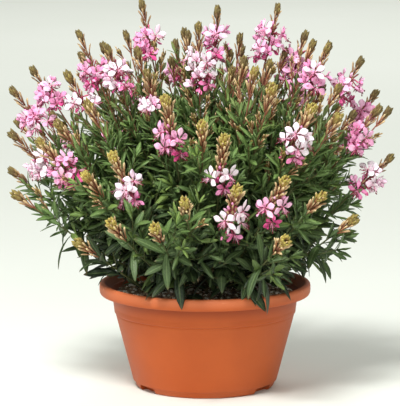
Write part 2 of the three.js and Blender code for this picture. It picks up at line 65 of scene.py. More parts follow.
# The pot and soil, in millimetres, as in the part's source.
WALL = 3
FLOOR = 8
RIM_R = 125
RIM_TOP = 124.5
RIM_DROP = 13.5
NECK_R = 110.5
STEP_Z = 86.5
STEP_R = 106
STEP_DEPTH = 1.4
FOOT_Z = 8
FOOT_R = 85.5
BASE_R = 81
NOTCH_TURNS = (-34, 90, 214)
NOTCH_WIDTH = 30
NOTCH_DEPTH = 8
NOTCH_HEIGHT = 7
SOIL_EDGE_Z = 105
SOIL_CROWN_Z = 111
GAP = 0.35

# The plant's plan, in millimetres and degrees, as in the part's source.
CROWN = np.array([0.0, 0.0, 66.0])
FORK_FOOT = 50
FORK_SHARE = 0.2
FORK_STEP = 6
SHOOT_FOOT_R = 1.6
SHOOT_R = 1.15
SHOOT_BENDS = (0, 0.5, 1)
SHOOT_STRAIGHT = 96
BARE_STRAIGHT = 58
STEM_R = 2.4
STEM_TOP_R = 1.7
FLOWER_OUT = 13.5
FLOWER_NOD = 22
PETAL_TURNS = (-95, -33, 33, 95)
PETAL_R = 14.5
PETAL_POINTS = (5, 10, 15.5)  # where a petal is tested, from the flower's middle
LOWEST_LEAF = 52
LEAF_STEP = 23
LEAF_SHOOT_STEP = 38
LEAF_LONG = 62
LEAF_SHORT = 30
LEAF_SHARE = 0.19  # a leaf's width, as a share of its length
LEAF_SINK = 0.14  # how far its tip sinks, as a share of its length
LEAF_BROADEST = 0.42  # how far along it is broadest
LEAF_FACES = (0.52, -0.78)  # its upper and its under side there, from its middle
LEAF_TESTED = (0.3, 0.5, 0.7, 0.85, 1)  # how far along its middle is tested
LEAF_ZONE = (60, 250)  # how far from the crown leaves are longest and shortest
PLAN_TILTS = (58, 40)  # how far they lean out there
GOLDEN = 137.5
FLOWER_TRIES = (0, 25, -25, 50, -50, 80, -80, 120, -120, 180)
LEAF_TRIES = (0, 35, -35, 70, -70, 105, -105, 140, -140, 180)
LEAF_SIZES = (1, 0.75, 0.55)

# The room that the plan keeps, in millimetres, as in the part's source.
ROOM = 0.4  # inside a stem's own cone of space
SHOOT_TO_FLOWER = 9
FLOWER_TO_FLOWER = 4.5
FLOWER_TO_LEAF = 7
LEAF_TO_LEAF = 9
SHOOT_TO_LEAF = 4
LEAF_ROOT = 5  # a leaf may be closer to the wood within this distance of its root
OVER_SOIL = 4
OVER_RIM = 1.5
RIM_ZONE = (-18, 3)  # where leaves have to clear the rim, from its outer edge
OUTSIDE_Z = 70  # how low leaves may hang outside the rim

# How far from the crown the plant is old and young, and where its front is, in millimetres.
AGE_REACH = (45, 305)
FRONT_REACH = 120

# The leaves and twigs that are only here. A pair holds a value at the soil and one at the plant's top.
LEAF_GAPS = (9, 3.5)
LEAF_LENGTHS = (48, 22)
LEAF_BREADTHS = (1.65, 1.3)
LEAF_TILTS = (78, 24)
TWIG_GAPS = (18, 8.5)
TWIG_LENGTHS = (46, 36)
TWIG_TILTS = (52, 18)
TWIG_BUDDING = (-1.1, 0.6)  # the chance that a twig ends in buds, which is none below 0
TWIG_THICK = (0.85, 0.75, 0.5)  # at its root, its middle and its end
TWIG_LIFT = 0.18
TUFT_LEAVES = 4
LEAF_SPREAD = (0.68, 1.1)  # the least and the greatest share of a leaf's usual length
LEAF_SAG = 0.3
DROOP_SAG = 0.5
LEAF_CUTS = (1, 0.8, 0.65, 0)  # what is left of a leaf, tried until it clears the soil and the rim
SHORTEST_LEAF = 12
SMALL_LEAF = 30  # a leaf up to this length gets the simpler shape
SPARSE = 0.62  # the share of leaves that a shoot goes without at the plant's top
LOW_SHOOT = 0.66  # a shoot that rises less steeply than this has leaves that hang
LEAVES_FROM = 72  # where a stem's leaves begin above the crown, if it runs to the front or the back
SIDE_LEAVES_FROM = 88  # and if it runs to a side
WOOD = 0.82  # the thickness of the wood here, as a share of the source's
WOOD_FOOT_Z = 94.5  # where the wood starts, under the soil's surface
TUBE_SIDES = 5

# The rosettes, low twigs that end in large leaves. Only the front ones are placed one by one.
ROSETTE_LEAVES = 7
ROSETTE_DROOPING = 5  # so many of them hang
FRONT_ROSETTES = [
    (-66, -72, 186),
    (-48, -92, 166),
    (-32, -102, 156),
    (-20, -86, 196),
    (4, -106, 154),
    (18, -98, 178),
    (38, -100, 156),
    (54, -90, 192),
    (67, -83, 157),
    (88, -60, 176),
]
HANGING = {2: 0, 6: -25, 8: 0}  # the front ones with a leaf over the rim, and its turn in degrees
BACK_ROSETTES = 13
ROSETTE_RING = (94, 174)  # how far out and how high the ones in the ring are

# The buds of a shoot, by how far below its tip they grow: a spike of tight ones, and slender ones under it.
SPIKE_BUDS = 21
SPIKE_TOP = 9
SPIKE_FOOT = 18
SPIKE_DOWN = (SPIKE_TOP, 11, 15, SPIKE_FOOT)
SPIKE_REACH = (2.2, 4.0, 4.2, 3.2)  # how far its buds reach out at those places
BUD_LENGTHS = (10, 8.8)  # at a spike's foot and at its top
SLENDER_TOP = 15
SLENDER_STEP = 2.0
PALER = 0.45  # how much paler the slender buds may be where their shoot has no flowers

# The flowers.
TINTS = {"pink": 0.3, "blush": 0.03}  # a bloom's least depth of colour
STAMENS = 8
STYLE_LENGTH = 13
FADING = 0.8  # how far the lowest flower of a bloom of three or more has faded
MORE_FADING = 0.7  # how far an added flower has faded that grows further down than the next distance
FADED_DOWN = 63
SMALL_TUBE = (0.7, 0.7, 1.1)  # how thick the tube of a half-open or spent flower is
HALF_OPEN = (4, 2)  # so many more in a bloom than its open flowers, or at the plant's front so many in all
SPENT = (8, 6)  # so many in a bloom, and at the plant's front

# The tips of the slim shoots that carry only buds, by stem.
SLIM_SHOOTS = {
    "crown": [(-20, -6, 424), (-40, 30, 390), (30, 30, 398), (32, -20, 384)],
    "left_top": [(-122, 20, 408), (-80, -20, 406)],
    "left_low": [(-228, 55, 312)],
    "left_front": [(-140, -112, 272)],
    "right_inner": [(78, -100, 372), (46, -30, 396)],
    "right_top": [(96, 10, 402)],
    "right_high": [(128, -12, 414), (139, -20, 362)],
    "right_low": [(220, 4, 332), (176, -30, 332)],
    "back_left_high": [(-28, 150, 372)],
}

# More open flowers, by stem and shoot, as (distance below the tip, degrees round).
MORE_FLOWERS = {
    ("left_low", 0): [(46, 15), (57, -30), (60, 55)],
    ("left_low", 1): [(50, 45), (61, -35)],
    ("left_front", 0): [(66, 5)],
    ("left_front", 1): [(44, 44), (57, -45), (66, 2)],
    ("right_middle", 0): [(57, 25)],
    ("right_high", 0): [(38, -35), (47, -75), (51, 5), (63, -30)],
}

# The pot and soil as they are made here, in millimetres and degrees.
STEP_LIFT = 1.4  # how far the step line is above the source's
SECOND_LINE = 5.8  # and how far the faint second line is above it
SOIL_LIFT = 6.5  # the loose top of the soil, above the edge of the source's plain surface
POT_SIDES = 160
POT_CREASE = 34  # edges that turn by more degrees than this stay sharp
NOTCH_ROUND = 1.6
WALL_SLOPE = 0.2525  # how far the pot's wall moves out for each millimetre up
SOIL_SIDES = 120
SOIL_RINGS = 56

# What lies on the soil: pieces to a square metre, and the smallest and largest in millimetres.
STREWN = {"perlite": (17000, 2.2, 6.0), "bark": (8000, 2.5, 9.0), "stone": (7000, 3.0, 8.0)}

# The studio, in metres: the camera, and each lamp's place, target, size and power in watts.
LENS = 240.5  # in millimetres
CAMERA_TARGET = (-5.9, 0, 218)  # in millimetres
CAMERA_RISE = 8.6  # in degrees
CAMERA_DISTANCE = 3.2
FLOOR_HALF = 14
SKY_STRENGTH = 0.38
LAMPS = {  # the last one lights the floor behind
    "key": ((-0.65, -1.4, 2.5), (0, 0, 0.2), 0.7, 86),
    "fill": ((0.8, -3.0, 1.3), (0, 0, 0.2), 1.8, 24),
    "side": ((-1.6, -1.4, 1.2), (-0.06, 0, 0.12), 0.8, 9),
    "back": ((0.4, 4.6, 4.2), (0, 4.4, 0), 4.0, 155),
}

FRONT = np.array([0.0, -1.0, 0.0])
UP = np.array([0.0, 0.0, 1.0])


def unit(vector):
    return vector / np.linalg.norm(vector)


def direction(heading, lean):
    """A direction by its heading, round from +X, and its lean from upright, in degrees."""
    h, s = math.radians(heading), math.radians(lean)
    return np.array([math.sin(s) * math.cos(h), math.sin(s) * math.sin(h), math.cos(s)])


def square_to(vector, axis):
    """The part of a vector that is square to an axis, at length 1."""
    return unit(vector - axis * (vector @ axis))


def swing(start, end, angle):
    """A direction turned from one towards another that is square to it, by an angle in degrees."""
    t = math.radians(angle)
    return start * math.cos(t) + end * math.sin(t)


def turned(axis, angle):
    """A direction square to an axis, turned round it from the front by an angle in degrees."""
    side = square_to(FRONT, axis)
    return swing(side, np.cross(axis, side), angle)


def blend(a, b, share):
    return a + (b - a) * share


def chance(a, b, c):
    """A repeatable number from 0 to 1 for three whole numbers, as in the part's source."""
    prime = 2**31 - 1
    n = (a * 7919 + b * 104729 + c * 1299721 + 12345) % prime
    for _ in range(3):
        n = n * 7**5 % prime
    return n / prime


class Shoot:
    """A shoot that ends in a spike of buds, by its tip. A flower is (distance below it, degrees round)."""

    def __init__(self, tip, tint="", *flowers):
        self.tip = np.array(tip, float)
        self.tint = tint
        self.wanted = flowers
        self.flowers = []
        self.axis = unit(self.tip - CROWN)
        self.straight = SHOOT_STRAIGHT if flowers else BARE_STRAIGHT
        self.neck = self.tip - self.axis * self.straight

    def join(self, way, number):
        """Curves the shoot out of its stem, which runs from the crown along a way."""
        reach = np.linalg.norm(self.tip - CROWN)
        neck = reach - self.straight
        self.fork = FORK_FOOT + FORK_SHARE * reach - FORK_STEP * number
        self.bend = (
            CROWN + way * self.fork,
            CROWN + self.axis * (self.fork + (neck - self.fork) * 0.5),
            CROWN + self.axis * neck,
        )
        self.path = [self.on_bend(t) for t in SHOOT_BENDS]
        bent = [self.on_path(share)[0] for share in (0, 0.2, 0.4, 0.6, 0.8, 1)]
        straight = [self.tip - self.axis * share * self.straight for share in (0.8, 0.65, 0.5)]
        self.samples = np.array(bent + straight)

    def on_bend(self, t):
        a, b, c = self.bend
        return (1 - t) ** 2 * a + 2 * (1 - t) * t * b + t**2 * c

    def on_path(self, share):
        """A place on the bent part's straight runs, and the direction there."""
        runs = len(self.path) - 1
        run = min(int(share * runs), runs - 1)
        start, end = self.path[run], self.path[run + 1]
        return blend(start, end, share * runs - run), unit(end - start)

    def distance_to(self, point):
        """From a point to the shoot's straight part."""
        run = self.tip - self.neck
        share = np.clip((point - self.neck) @ run / (run @ run), 0, 1)
        return np.linalg.norm(point - self.neck - run * share)


class Flower:
    """A flower on a shoot: its middle, the way it faces, and the way its upper petals point."""

    def __init__(self, shoot, down, turn):
        self.down = down
        self.foot = shoot.tip - shoot.axis * down
        self.out = turned(shoot.axis, turn)
        self.face = swing(self.out, shoot.axis, FLOWER_NOD)
        self.up = square_to(shoot.axis, self.face)
        self.right = np.cross(self.up, self.face)
        self.centre = self.foot + self.out * FLOWER_OUT
        spokes = [self.spoke(turn) for turn in PETAL_TURNS]
        self.points = np.array([self.centre + spoke * reach for spoke in spokes for reach in PETAL_POINTS])

    def spoke(self, turn):
        return swing(self.up, self.right, turn)


class Stem:
    """A leafy stem, by its heading, its lean from upright and its shoots. The slim ones are only here."""

    def __init__(self, name, heading, lean, shoots):
        self.name = name
        self.way = direction(heading, lean)
        self.shoots = shoots
        self.slim = [Shoot(tip) for tip in SLIM_SHOOTS.get(name, ())]
        self.leaves = []


STEMS = [
    Stem("crown", 235, 4, [
        Shoot((15, 30, 450), "pink", (35, 45), (45, -45), (57, 40)),
        Shoot((-8, -28, 436), "blush", (44, -75), (48, 45), (61, 50), (74, 0)),
        Shoot((-25, 5, 426)),
        Shoot((42, 25, 418)),
    ]),
    Stem("left_top", 178, 13, [
        Shoot((-75, 0, 460), "pink", (46, 45), (52, -35), (66, 10)),
        Shoot((-116, -20, 410), "blush", (34, -60), (42, 20), (52, -50)),
        Shoot((-95, 35, 420)),
    ]),
    Stem("left_high", 182, 29, [
        Shoot((-150, 0, 424), "pink", (50, -50), (58, 40), (66, -70), (74, -5)),
        Shoot((-162, -42, 380), "blush", (38, -40), (49, 10)),
        Shoot((-206, 10, 380), "pink", (34, 45), (42, -45), (54, 10)),
        Shoot((-150, 52, 394)),
        Shoot((-174, -54, 324)),
    ]),
    Stem("left_low", 183, 46, [
        Shoot((-230, 5, 356), "pink", (45, -60), (48, 60), (59, 0)),
        Shoot((-230, -24, 308), "blush", (54, -60), (63, 20)),
        Shoot((-232, -10, 262)),
        Shoot((-226, -52, 240)),
    ]),
    Stem("left_front", 213, 38, [
        Shoot((-194, -82, 306), "pink", (42, 60), (54, -30), (62, 45)),
        Shoot((-108, -126, 296), "blush", (49, 35), (54, -65), (70, -5)),
        Shoot((-138, -72, 350)),
    ]),
    Stem("left_base", 208, 56, [
        Shoot((-152, -82, 188)),
    ]),
    Stem("front_high", 238, 20, [
        Shoot((-46, -112, 360), "pink", (46, -65), (55, 35), (64, -25), (73, 30)),
        Shoot((-68, -58, 384), "blush", (44, -70), (54, -20)),
    ]),
    Stem("front_middle", 274, 30, [
        Shoot((22, -152, 320), "blush", (53, 45), (60, -60), (70, 0)),
        Shoot((-4, -138, 334)),
    ]),
    Stem("front_low_left", 250, 50, [
        Shoot((-58, -195, 224)),
        Shoot((-24, -188, 252)),
        Shoot((-110, -150, 222)),
    ]),
    Stem("front_low_right", 290, 46, [
        Shoot((36, -186, 266), "blush", (36, 60), (52, -25), (60, 50), (75, 10)),
        Shoot((92, -166, 274), "pink", (40, 55), (49, -30), (66, 35)),
        Shoot((92, -190, 208)),
    ]),
    Stem("right_front", 326, 48, [
        Shoot((136, -128, 250)),
        Shoot((178, -72, 214)),
    ]),
    Stem("right_middle", 321, 31, [
        Shoot((124, -110, 350), "blush", (40, -20), (50, 50), (54, -60), (68, 0)),
        Shoot((156, -84, 336)),
    ]),
    Stem("right_inner", 308, 17, [
        Shoot((58, -72, 388)),
    ]),
    Stem("right_top", 357, 13, [
        Shoot((86, 0, 455), "pink", (35, -50), (38, 45), (50, 25), (56, -55), (68, -20)),
        Shoot((76, -24, 392)),
    ]),
    Stem("right_high", 356, 25, [
        Shoot((120, 22, 421), "pink", (34, -40), (44, 50), (56, -45)),
        Shoot((146, -24, 412), "pink", (40, -20), (56, 20)),
        Shoot((186, 2, 392), "pink", (34, 50), (42, -40), (54, 20)),
        Shoot((158, -48, 366)),
    ]),
    Stem("right_low", 0, 41, [
        Shoot((206, 34, 350), "pink", (34, -40), (46, 45)),
        Shoot((206, -26, 338), "pink", (42, 40), (58, -10)),
        Shoot((222, -14, 278), "blush", (34, -45), (42, 45), (60, 0)),
    ]),
    Stem("back_right_high", 58, 22, [
        Shoot((45, 78, 400), "pink", (38, 160), (50, 110)),
        Shoot((42, 154, 366), "blush", (40, 180), (52, 130)),
        Shoot((120, 100, 374), "pink", (38, 150), (50, 100)),
    ]),
    Stem("back_left_high", 120, 22, [
        Shoot((-36, 78, 406), "pink", (38, -160), (50, -110)),
        Shoot((-98, 116, 376), "blush", (40, -150), (52, 170)),
    ]),
    Stem("back_right_low", 42, 46, [
        Shoot((194, 112, 315), "pink", (40, 140), (52, 90)),
        Shoot((130, 185, 292), "blush", (40, 180), (54, 130)),
        Shoot((164, 148, 222)),
    ]),
    Stem("back_low", 91, 46, [
        Shoot((32, 218, 310), "pink", (40, 160), (52, -170)),
        Shoot((-40, 226, 260), "blush", (40, -150), (54, 170)),
    ]),
    Stem("back_left_low", 138, 46, [
        Shoot((-126, 180, 312), "pink", (40, -170), (52, -120)),
        Shoot((-190, 120, 315), "blush", (40, -140), (52, -90)),
        Shoot((-168, 140, 214)),
    ]),
]

WAYS = np.array([stem.way for stem in STEMS])


def in_cone(points, own):
    """Whether points keep to a stem's own cone of space, so that no two stems cross."""
    sides = WAYS[own] - np.delete(WAYS, own, axis=0)
    sides /= np.linalg.norm(sides, axis=1)[:, None]
    return bool(((np.atleast_2d(points) - CROWN) @ sides.T > ROOM).all())


def above_ground(points):
    """Whether points are clear of the soil and of the pot's rim."""
    points = np.atleast_2d(points)
    out = np.hypot(points[:, 0], points[:, 1]) - RIM_R
    beyond_soil = np.where(out < RIM_ZONE[1], RIM_TOP + OVER_RIM, OUTSIDE_Z)
    lowest = np.where(out < RIM_ZONE[0], SOIL_CROWN_Z + OVER_SOIL, beyond_soil)
    return bool((points[:, 2] > lowest).all())


def apart(points, others, distance):
    """Whether every point is further than a distance from every other."""
    if not len(others):
        return True
    gaps = np.linalg.norm(np.atleast_2d(points)[:, None] - np.asarray(others)[None], axis=2)
    return bool((gaps > distance).all())


def place_flowers(stem, number):
    """Puts a stem's flowers where they are wanted, or turned round until they clear the rest."""
    placed = []
    for shoot in stem.shoots:
        others = [other for other in stem.shoots if other is not shoot]
        for down, turn in shoot.wanted:
            strangers = [point for flower in placed + shoot.flowers for point in flower.points]
            for change in FLOWER_TRIES:
                flower = Flower(shoot, down, turn + change)
                gaps = [other.distance_to(point) for other in others for point in flower.points]
                if (
                    in_cone(flower.points, number)
                    and all(gap > SHOOT_TO_FLOWER for gap in gaps)
                    and apart(flower.points, strangers, FLOWER_TO_FLOWER)
                ):
                    shoot.flowers.append(flower)
                    break
        placed += shoot.flowers
    return placed


def leaf_places(stem):
    """Where the source's leaves grow: up the stem, and then up the curve of each shoot."""
    places = []
    top = max(shoot.fork for shoot in stem.shoots)
    s = LOWEST_LEAF / stem.way[2]
    while s < top:
        places.append((CROWN + stem.way * s, stem.way, s))
        s += LEAF_STEP
    for shoot in stem.shoots:
        count = int(np.linalg.norm(shoot.path[0] - shoot.path[-1]) / LEAF_SHOOT_STEP)
        for k in range(1, count + 1):
            place, axis = shoot.on_path((k - 0.3) / count)
            places.append((place, axis, np.linalg.norm(place - CROWN)))
    return places


class Leaf:
    """A leaf's plan: its root, the way it points, its upper side and its size."""

    def __init__(self, root, way, normal, length):
        self.root, self.way, self.normal, self.length = root, way, normal, length
        side = unit(np.cross(way, normal))
        half = 0.5 * LEAF_SHARE * length

        def at(share, across=0.0, height=0.0):
            sink = LEAF_SINK * length * share * share
            return root + way * length * share + side * across * half + normal * (height - sink)

        self.line = np.array([at(share) for share in LEAF_TESTED])
        faces = [at(LEAF_BROADEST, 0, height) for height in LEAF_FACES]
        edges = [at(LEAF_BROADEST, 1), at(1), at(LEAF_BROADEST, -1), *faces]
        self.points = np.vstack([edges, self.line])


def place_leaves(stem, number, flowers):
    """Puts a stem's leaves in a spiral, turned and shortened until they clear the rest."""
    keep_off = [point for flower in flowers for point in (*flower.points, flower.foot, flower.centre)]
    leaves = []
    for k, (root, axis, height) in enumerate(leaf_places(stem)):
        share = float(np.interp(height, LEAF_ZONE, (0, 1)))
        full = blend(LEAF_LONG, LEAF_SHORT, share) * (0.88 + 0.24 * chance(number, k, 1))
        tilt = blend(*PLAN_TILTS, share) + 10 * (chance(number, k, 2) - 0.5)
        tries = [(size, change) for size in LEAF_SIZES for change in LEAF_TRIES]
        for size, change in tries:
            way = swing(axis, turned(axis, GOLDEN * k + 40 * number + change), tilt)
            leaf = Leaf(root, way, square_to(axis, way), full * size)
            if (
                in_cone(leaf.points, number)
                and above_ground(leaf.points)
                and apart(leaf.points, keep_off, FLOWER_TO_LEAF)
                and leaf_apart(leaf, leaves, stem)
            ):
                leaves.append(leaf)
                break
    return leaves


def leaf_apart(leaf, leaves, stem):
    """Whether a leaf keeps off the stem's other leaves and the shoots that it doesn't grow from."""
    if not all(apart(leaf.line, other.line, LEAF_TO_LEAF) for other in leaves):
        return False
    samples = np.vstack([shoot.samples for shoot in stem.shoots])
    others = samples[np.linalg.norm(samples - leaf.root, axis=1) >= LEAF_ROOT]
    return apart(leaf.line, others, SHOOT_TO_LEAF)


for stem_number, stem in enumerate(STEMS):
    for shoot_number, shoot in enumerate([*stem.shoots, *stem.slim]):
        shoot.join(stem.way, shoot_number)
    stem.leaves = place_leaves(stem, stem_number, place_flowers(stem, stem_number))


class Value:
    """A socket that carries a number. Arithmetic on it adds Math nodes."""

    def __init__(self, graph, socket):
        self.graph = graph
        self.socket = socket

    def maths(self, operation, *terms):
        node = self.graph.node("ShaderNodeMath", dict(enumerate(terms)), operation=operation)
        return Value(self.graph, node.outputs[0])

    def __add__(self, other):
        return self.maths("ADD", self, other)

    def __sub__(self, other):
        return self.maths("SUBTRACT", self, other)

    def __rsub__(self, other):
        return self.maths("SUBTRACT", other, self)

    def __mul__(self, other):
        return self.maths("MULTIPLY", self, other)

    __radd__ = __add__
    __rmul__ = __mul__

    def sine(self):
        return self.maths("SINE", self)

    def rise(self, low, high):
        """0 below one number, 1 above another, and a smooth step between them."""
        sockets = {0: self, 1: low, 2: high}
        node = self.graph.node("ShaderNodeMapRange", sockets, interpolation_type="SMOOTHSTEP")
        return Value(self.graph, node.outputs[0])


class Graph:
    """A node tree under construction."""

    def __init__(self, tree):
        self.tree = tree

    def node(self, kind, sockets=None, **settings):
        """Adds a node: its settings come first, then a value or a link for each of its sockets."""
        made = self.tree.nodes.new(kind)
        for name, value in settings.items():
            setattr(made, name, value)
        for name, value in (sockets or {}).items():
            value = value.socket if isinstance(value, Value) else value
            if isinstance(value, bpy.types.NodeSocket):
                self.tree.links.new(value, made.inputs[name])
            else:
                made.inputs[name].default_value = value
        return made


def paint(red, green, blue):
    """A colour from its screen values, 0 to 255, as the shader's linear numbers."""
    channels = [c / 255 for c in (red, green, blue)]
    linear = [c / 12.92 if c <= 0.04045 else ((c + 0.055) / 1.055) ** 2.4 for c in channels]
    return (*linear, 1.0)


class Finish(Graph):
    """A material under construction, whose colour is laid on in steps. Colours are screen values."""

    def __init__(self, name, shine):
        self.material = bpy.data.materials.new(name)
        self.material.use_nodes = True
        super().__init__(self.material.node_tree)
        self.tree.nodes.clear()
        self.shader = self.node("ShaderNodeBsdfPrincipled", {"Specular IOR Level": shine})
        self.node("ShaderNodeOutputMaterial", {"Surface": self.shader.outputs[0]})
        self.colour = None

    def attribute(self, name):
        return Value(self, self.node("ShaderNodeAttribute", attribute_name=name).outputs["Fac"])

    def noise(self, scale, detail=3.0, stretch=(1, 1, 1)):
        """Noise over the object's own coordinates, at so many patches to a metre."""
        place = self.node("ShaderNodeTexCoord").outputs["Object"]
        place = self.node("ShaderNodeMapping", {"Vector": place, "Scale": stretch}).outputs[0]
        sockets = {"Vector": place, "Scale": scale, "Detail": detail}
        return Value(self, self.node("ShaderNodeTexNoise", sockets).outputs[0])

    def height(self):
        """How far up the object a place is, in metres."""
        place = self.node("ShaderNodeTexCoord").outputs["Object"]
        return Value(self, self.node("ShaderNodeSeparateXYZ", {0: place}).outputs[2])

    def mix(self, share, a, b):
        """One colour turned into another by a share from 0 to 1."""
        a, b = [paint(*colour) if isinstance(colour, tuple) else colour for colour in (a, b)]
        sockets = {0: share, 6: a, 7: b}
        return self.node("ShaderNodeMix", sockets, data_type="RGBA", clamp_factor=True).outputs[2]

    def lay(self, share, colour):
        """Turns the colour so far into another by a share from 0 to 1."""
        self.colour = self.mix(share, self.colour, colour)

    def done(self, roughness, relief=None, depth=0.0002):
        """The finished material, with its roughness and a relief of so many metres."""
        self.tree.links.new(self.colour, self.shader.inputs["Base Color"])
        self.tree.links.new(roughness.socket, self.shader.inputs["Roughness"])
        if relief is not None:
            bump = self.node("ShaderNodeBump", {"Height": relief, "Distance": depth, "Strength": 1.0})
            self.tree.links.new(bump.outputs[0], self.shader.inputs["Normal"])
        return self.material


def pot_finish():
    """Moulded plastic: nearly even, with a faint bloom, scuffs on its edges and dust at its foot, with
    painted shade under the rim and a painted highlight along the rim.
    """
    m = Finish("terracotta_plastic", 0.32)
    cloud = m.noise(14, 4)
    flow = m.noise(26, 3, (1, 1, 0.15))
    grain = m.noise(1500, 2)
    height = m.height()
    dust = (1 - height.rise(0.0, 0.016)) * cloud.rise(0.35, 0.7) * 0.35
    # Painted shade: a darker band on the wall just under the rim, where the rim's overhang shades it.
    painted_shade_under_rim = height.rise(0.094, 0.108) * (1 - height.rise(0.108, 0.112))
    # Painted highlight: the rim's upper part is made lighter, as if lit more by the lamp above.
    rim = height.rise(0.111, 0.121)
    scuff = m.noise(90, 5, (1, 1, 3)).rise(0.6, 0.7) * height.rise(0.116, 0.1235)
    m.colour = m.mix(cloud.rise(0.3, 0.75), (178, 80, 28), (188, 88, 34))
    m.lay(flow.rise(0.5, 0.8) * 0.25, (166, 70, 26))
    m.lay(dust, (176, 110, 78))
    # Painted shade laid on under the rim.
    m.lay(painted_shade_under_rim * 0.6, (140, 56, 20))
    # Painted highlight laid on the rim.
    m.lay(rim * 0.5, (212, 124, 84))
    m.lay(scuff * 0.6, (238, 160, 120))
    rough = 0.4 + cloud * 0.16 + dust * 0.3 + grain * 0.06
    return m.done(rough, grain * 0.35 + cloud * 0.65, 0.0003)


def soil_finish():
    """Pale dry clods and crumbs with darker, damp patches."""
    m = Finish("potting_soil", 0.25)
    clods, crumbs, damp = m.noise(170, 6), m.noise(900, 4), m.noise(30, 2)
    m.colour = m.mix(clods.rise(0.35, 0.65), (84, 66, 50), (172, 144, 112))
    m.lay(crumbs.rise(0.52, 0.66) * 0.7, (222, 200, 166))
    m.lay(damp.rise(0.5, 0.7) * 0.35, (62, 48, 38))
    return m.done(0.8 + crumbs * 0.2, clods * 0.7 + crumbs * 0.3, 0.003)


def grit_finish(name, dark, pale, scale, pitted):
    """One kind of small piece on the soil, with each piece its own tone."""
    m = Finish(name, 0.3)
    patches, pits = m.noise(scale, 4), m.noise(scale * 4, 3)
    m.colour = m.mix(patches.rise(0.3, 0.7) * 0.6 + m.attribute("tone") * 0.4, dark, pale)
    m.lay(pits.rise(0.6, 0.72) * pitted, (60, 46, 36))
    return m.done(0.75 + pits * 0.2, pits, 0.0006)


def leaf_finish():
    """Green, paler along the midrib and underneath, with each leaf its own tone, and painted shade that
    darkens the leaves low on the plant.
    """
    m = Finish("leaf", 0.42)
    tone, age, along, across = map(m.attribute, ("tone", "age", "along", "across"))
    mottle = m.noise(380, 3)
    veins = (along * 62 - across * 7).sine().rise(0.7, 1.0) * (1 - across.rise(0.7, 1.0))
    rib = 1 - across.rise(0.03, 0.2)
    # Painted shade: leaves low on the plant, under the upper foliage, are darker towards the soil.
    shade = 1 - m.height().rise(0.11, 0.27)
    m.colour = m.mix(tone, (21, 37, 18), (80, 99, 54))
    m.lay(age.rise(0.35, 0.8) * 0.75, (118, 152, 76))
    m.lay(age.rise(0.78, 1.0) * 0.55, (150, 148, 92))
    m.lay(tone.rise(0.78, 0.95) * age.rise(0.0, 0.4) * 0.8, (140, 166, 80))
    m.lay(mottle.rise(0.45, 0.75) * 0.3, (48, 84, 44))
    m.lay(rib * 0.5 + veins * 0.14, (140, 166, 104))
    m.lay(m.attribute("under") * 0.55, (126, 148, 108))
    # Painted shade laid on the low leaves.
    m.lay(shade * 0.5, (16, 30, 14))
    m.lay(along.rise(0.86, 1.0) * (1 - tone) * 0.4, (120, 74, 48))
    return m.done(0.4 + mottle * 0.22, veins * 0.4 + rib * 0.6 + mottle * 0.3, 0.00025)


def stem_finish():
    """Woody brown at the foot, green in the middle and red towards the flowers."""
    m = Finish("stem", 0.35)
    age, tone = map(m.attribute, ("age", "tone"))
    streaks = m.noise(420, 3, (1, 1, 0.25))
    m.colour = m.mix(age.rise(0.0, 0.25), (88, 74, 50), (86, 92, 52))
    m.lay(age.rise(0.65, 1.0), (144, 96, 70))
    m.lay(tone.rise(0.5, 1.0) * age.rise(0.75, 1.0) * 0.6, (146, 64, 70))
    m.lay(streaks.rise(0.5, 0.75) * 0.35, (84, 56, 40))
    return m.done(0.5 + streaks * 0.2, streaks, 0.0002)


def bud_finish():
    """The tight buds of a spike: olive to yellow-green, each with a brown or red foot."""
    m = Finish("spike_bud", 0.35)
    tone, along = map(m.attribute, ("tone", "along"))
    down = m.noise(900, 2)
    m.colour = m.mix(tone, (104, 92, 54), (190, 174, 86))
    m.lay((1 - along.rise(0.25, 0.9)) * 0.85, m.mix(tone, (92, 66, 42), (166, 112, 60)))
    m.lay(down.rise(0.5, 0.7) * 0.25, (96, 84, 44))
    return m.done(0.6 + down * 0.15, down, 0.00015)


def slender_finish():
    """The long buds under a spike: red at the foot, then orange-pink, with a cream tip."""
    m = Finish("slender_bud", 0.35)
    tone, along = map(m.attribute, ("tone", "along"))
    streaks = m.noise(700, 2, (1, 1, 0.4))
    m.colour = m.mix(tone, (118, 86, 62), (190, 142, 102))
    m.lay((1 - along.rise(0.05, 0.6)) * 0.8, m.mix(tone, (112, 60, 54), (172, 88, 62)))
    m.lay(along.rise(0.4, 1.0) * (0.15 + tone * 0.65), (236, 220, 166))
    m.lay(streaks.rise(0.5, 0.7) * 0.25, (150, 70, 66))
    return m.done(0.55 + streaks * 0.15, streaks, 0.00015)


def petal_finish():
    """Thin petals, from nearly white to deep pink by their tone, flushed and veined from the claw."""
    m = Finish("petal", 0.3)
    tone, along, across = map(m.attribute, ("tone", "along", "across"))
    cloud = m.noise(260, 3)
    flush = (1 - along.rise(0.05, 0.6)) * (0.3 + tone * 0.5)
    veins = (across * 13.5 + 1.57).sine().rise(0.72, 1.0) * (1 - along.rise(0.35, 0.9))
    m.colour = m.mix(tone.rise(0.0, 0.6), (254, 244, 250), (248, 166, 210))
    m.lay(tone.rise(0.55, 1.0), (214, 72, 134))
    m.lay(flush, (214, 74, 138))
    m.lay(veins * 0.4, (196, 70, 130))
    m.lay(cloud.rise(0.5, 0.8) * 0.2, (255, 244, 250))
    return m.done(0.5 + cloud * 0.15, veins * 0.5 + cloud * 0.5, 0.0002)


def thread_finish():
    """Stamens and styles: pale pink threads with a dark red end."""
    m = Finish("stamen", 0.3)
    m.colour = m.mix(m.attribute("tone"), (246, 214, 226), (226, 120, 164))
    m.lay(m.attribute("along").rise(0.74, 0.8), (112, 34, 46))
    return m.done(0.55 + m.noise(1200, 2) * 0.1)


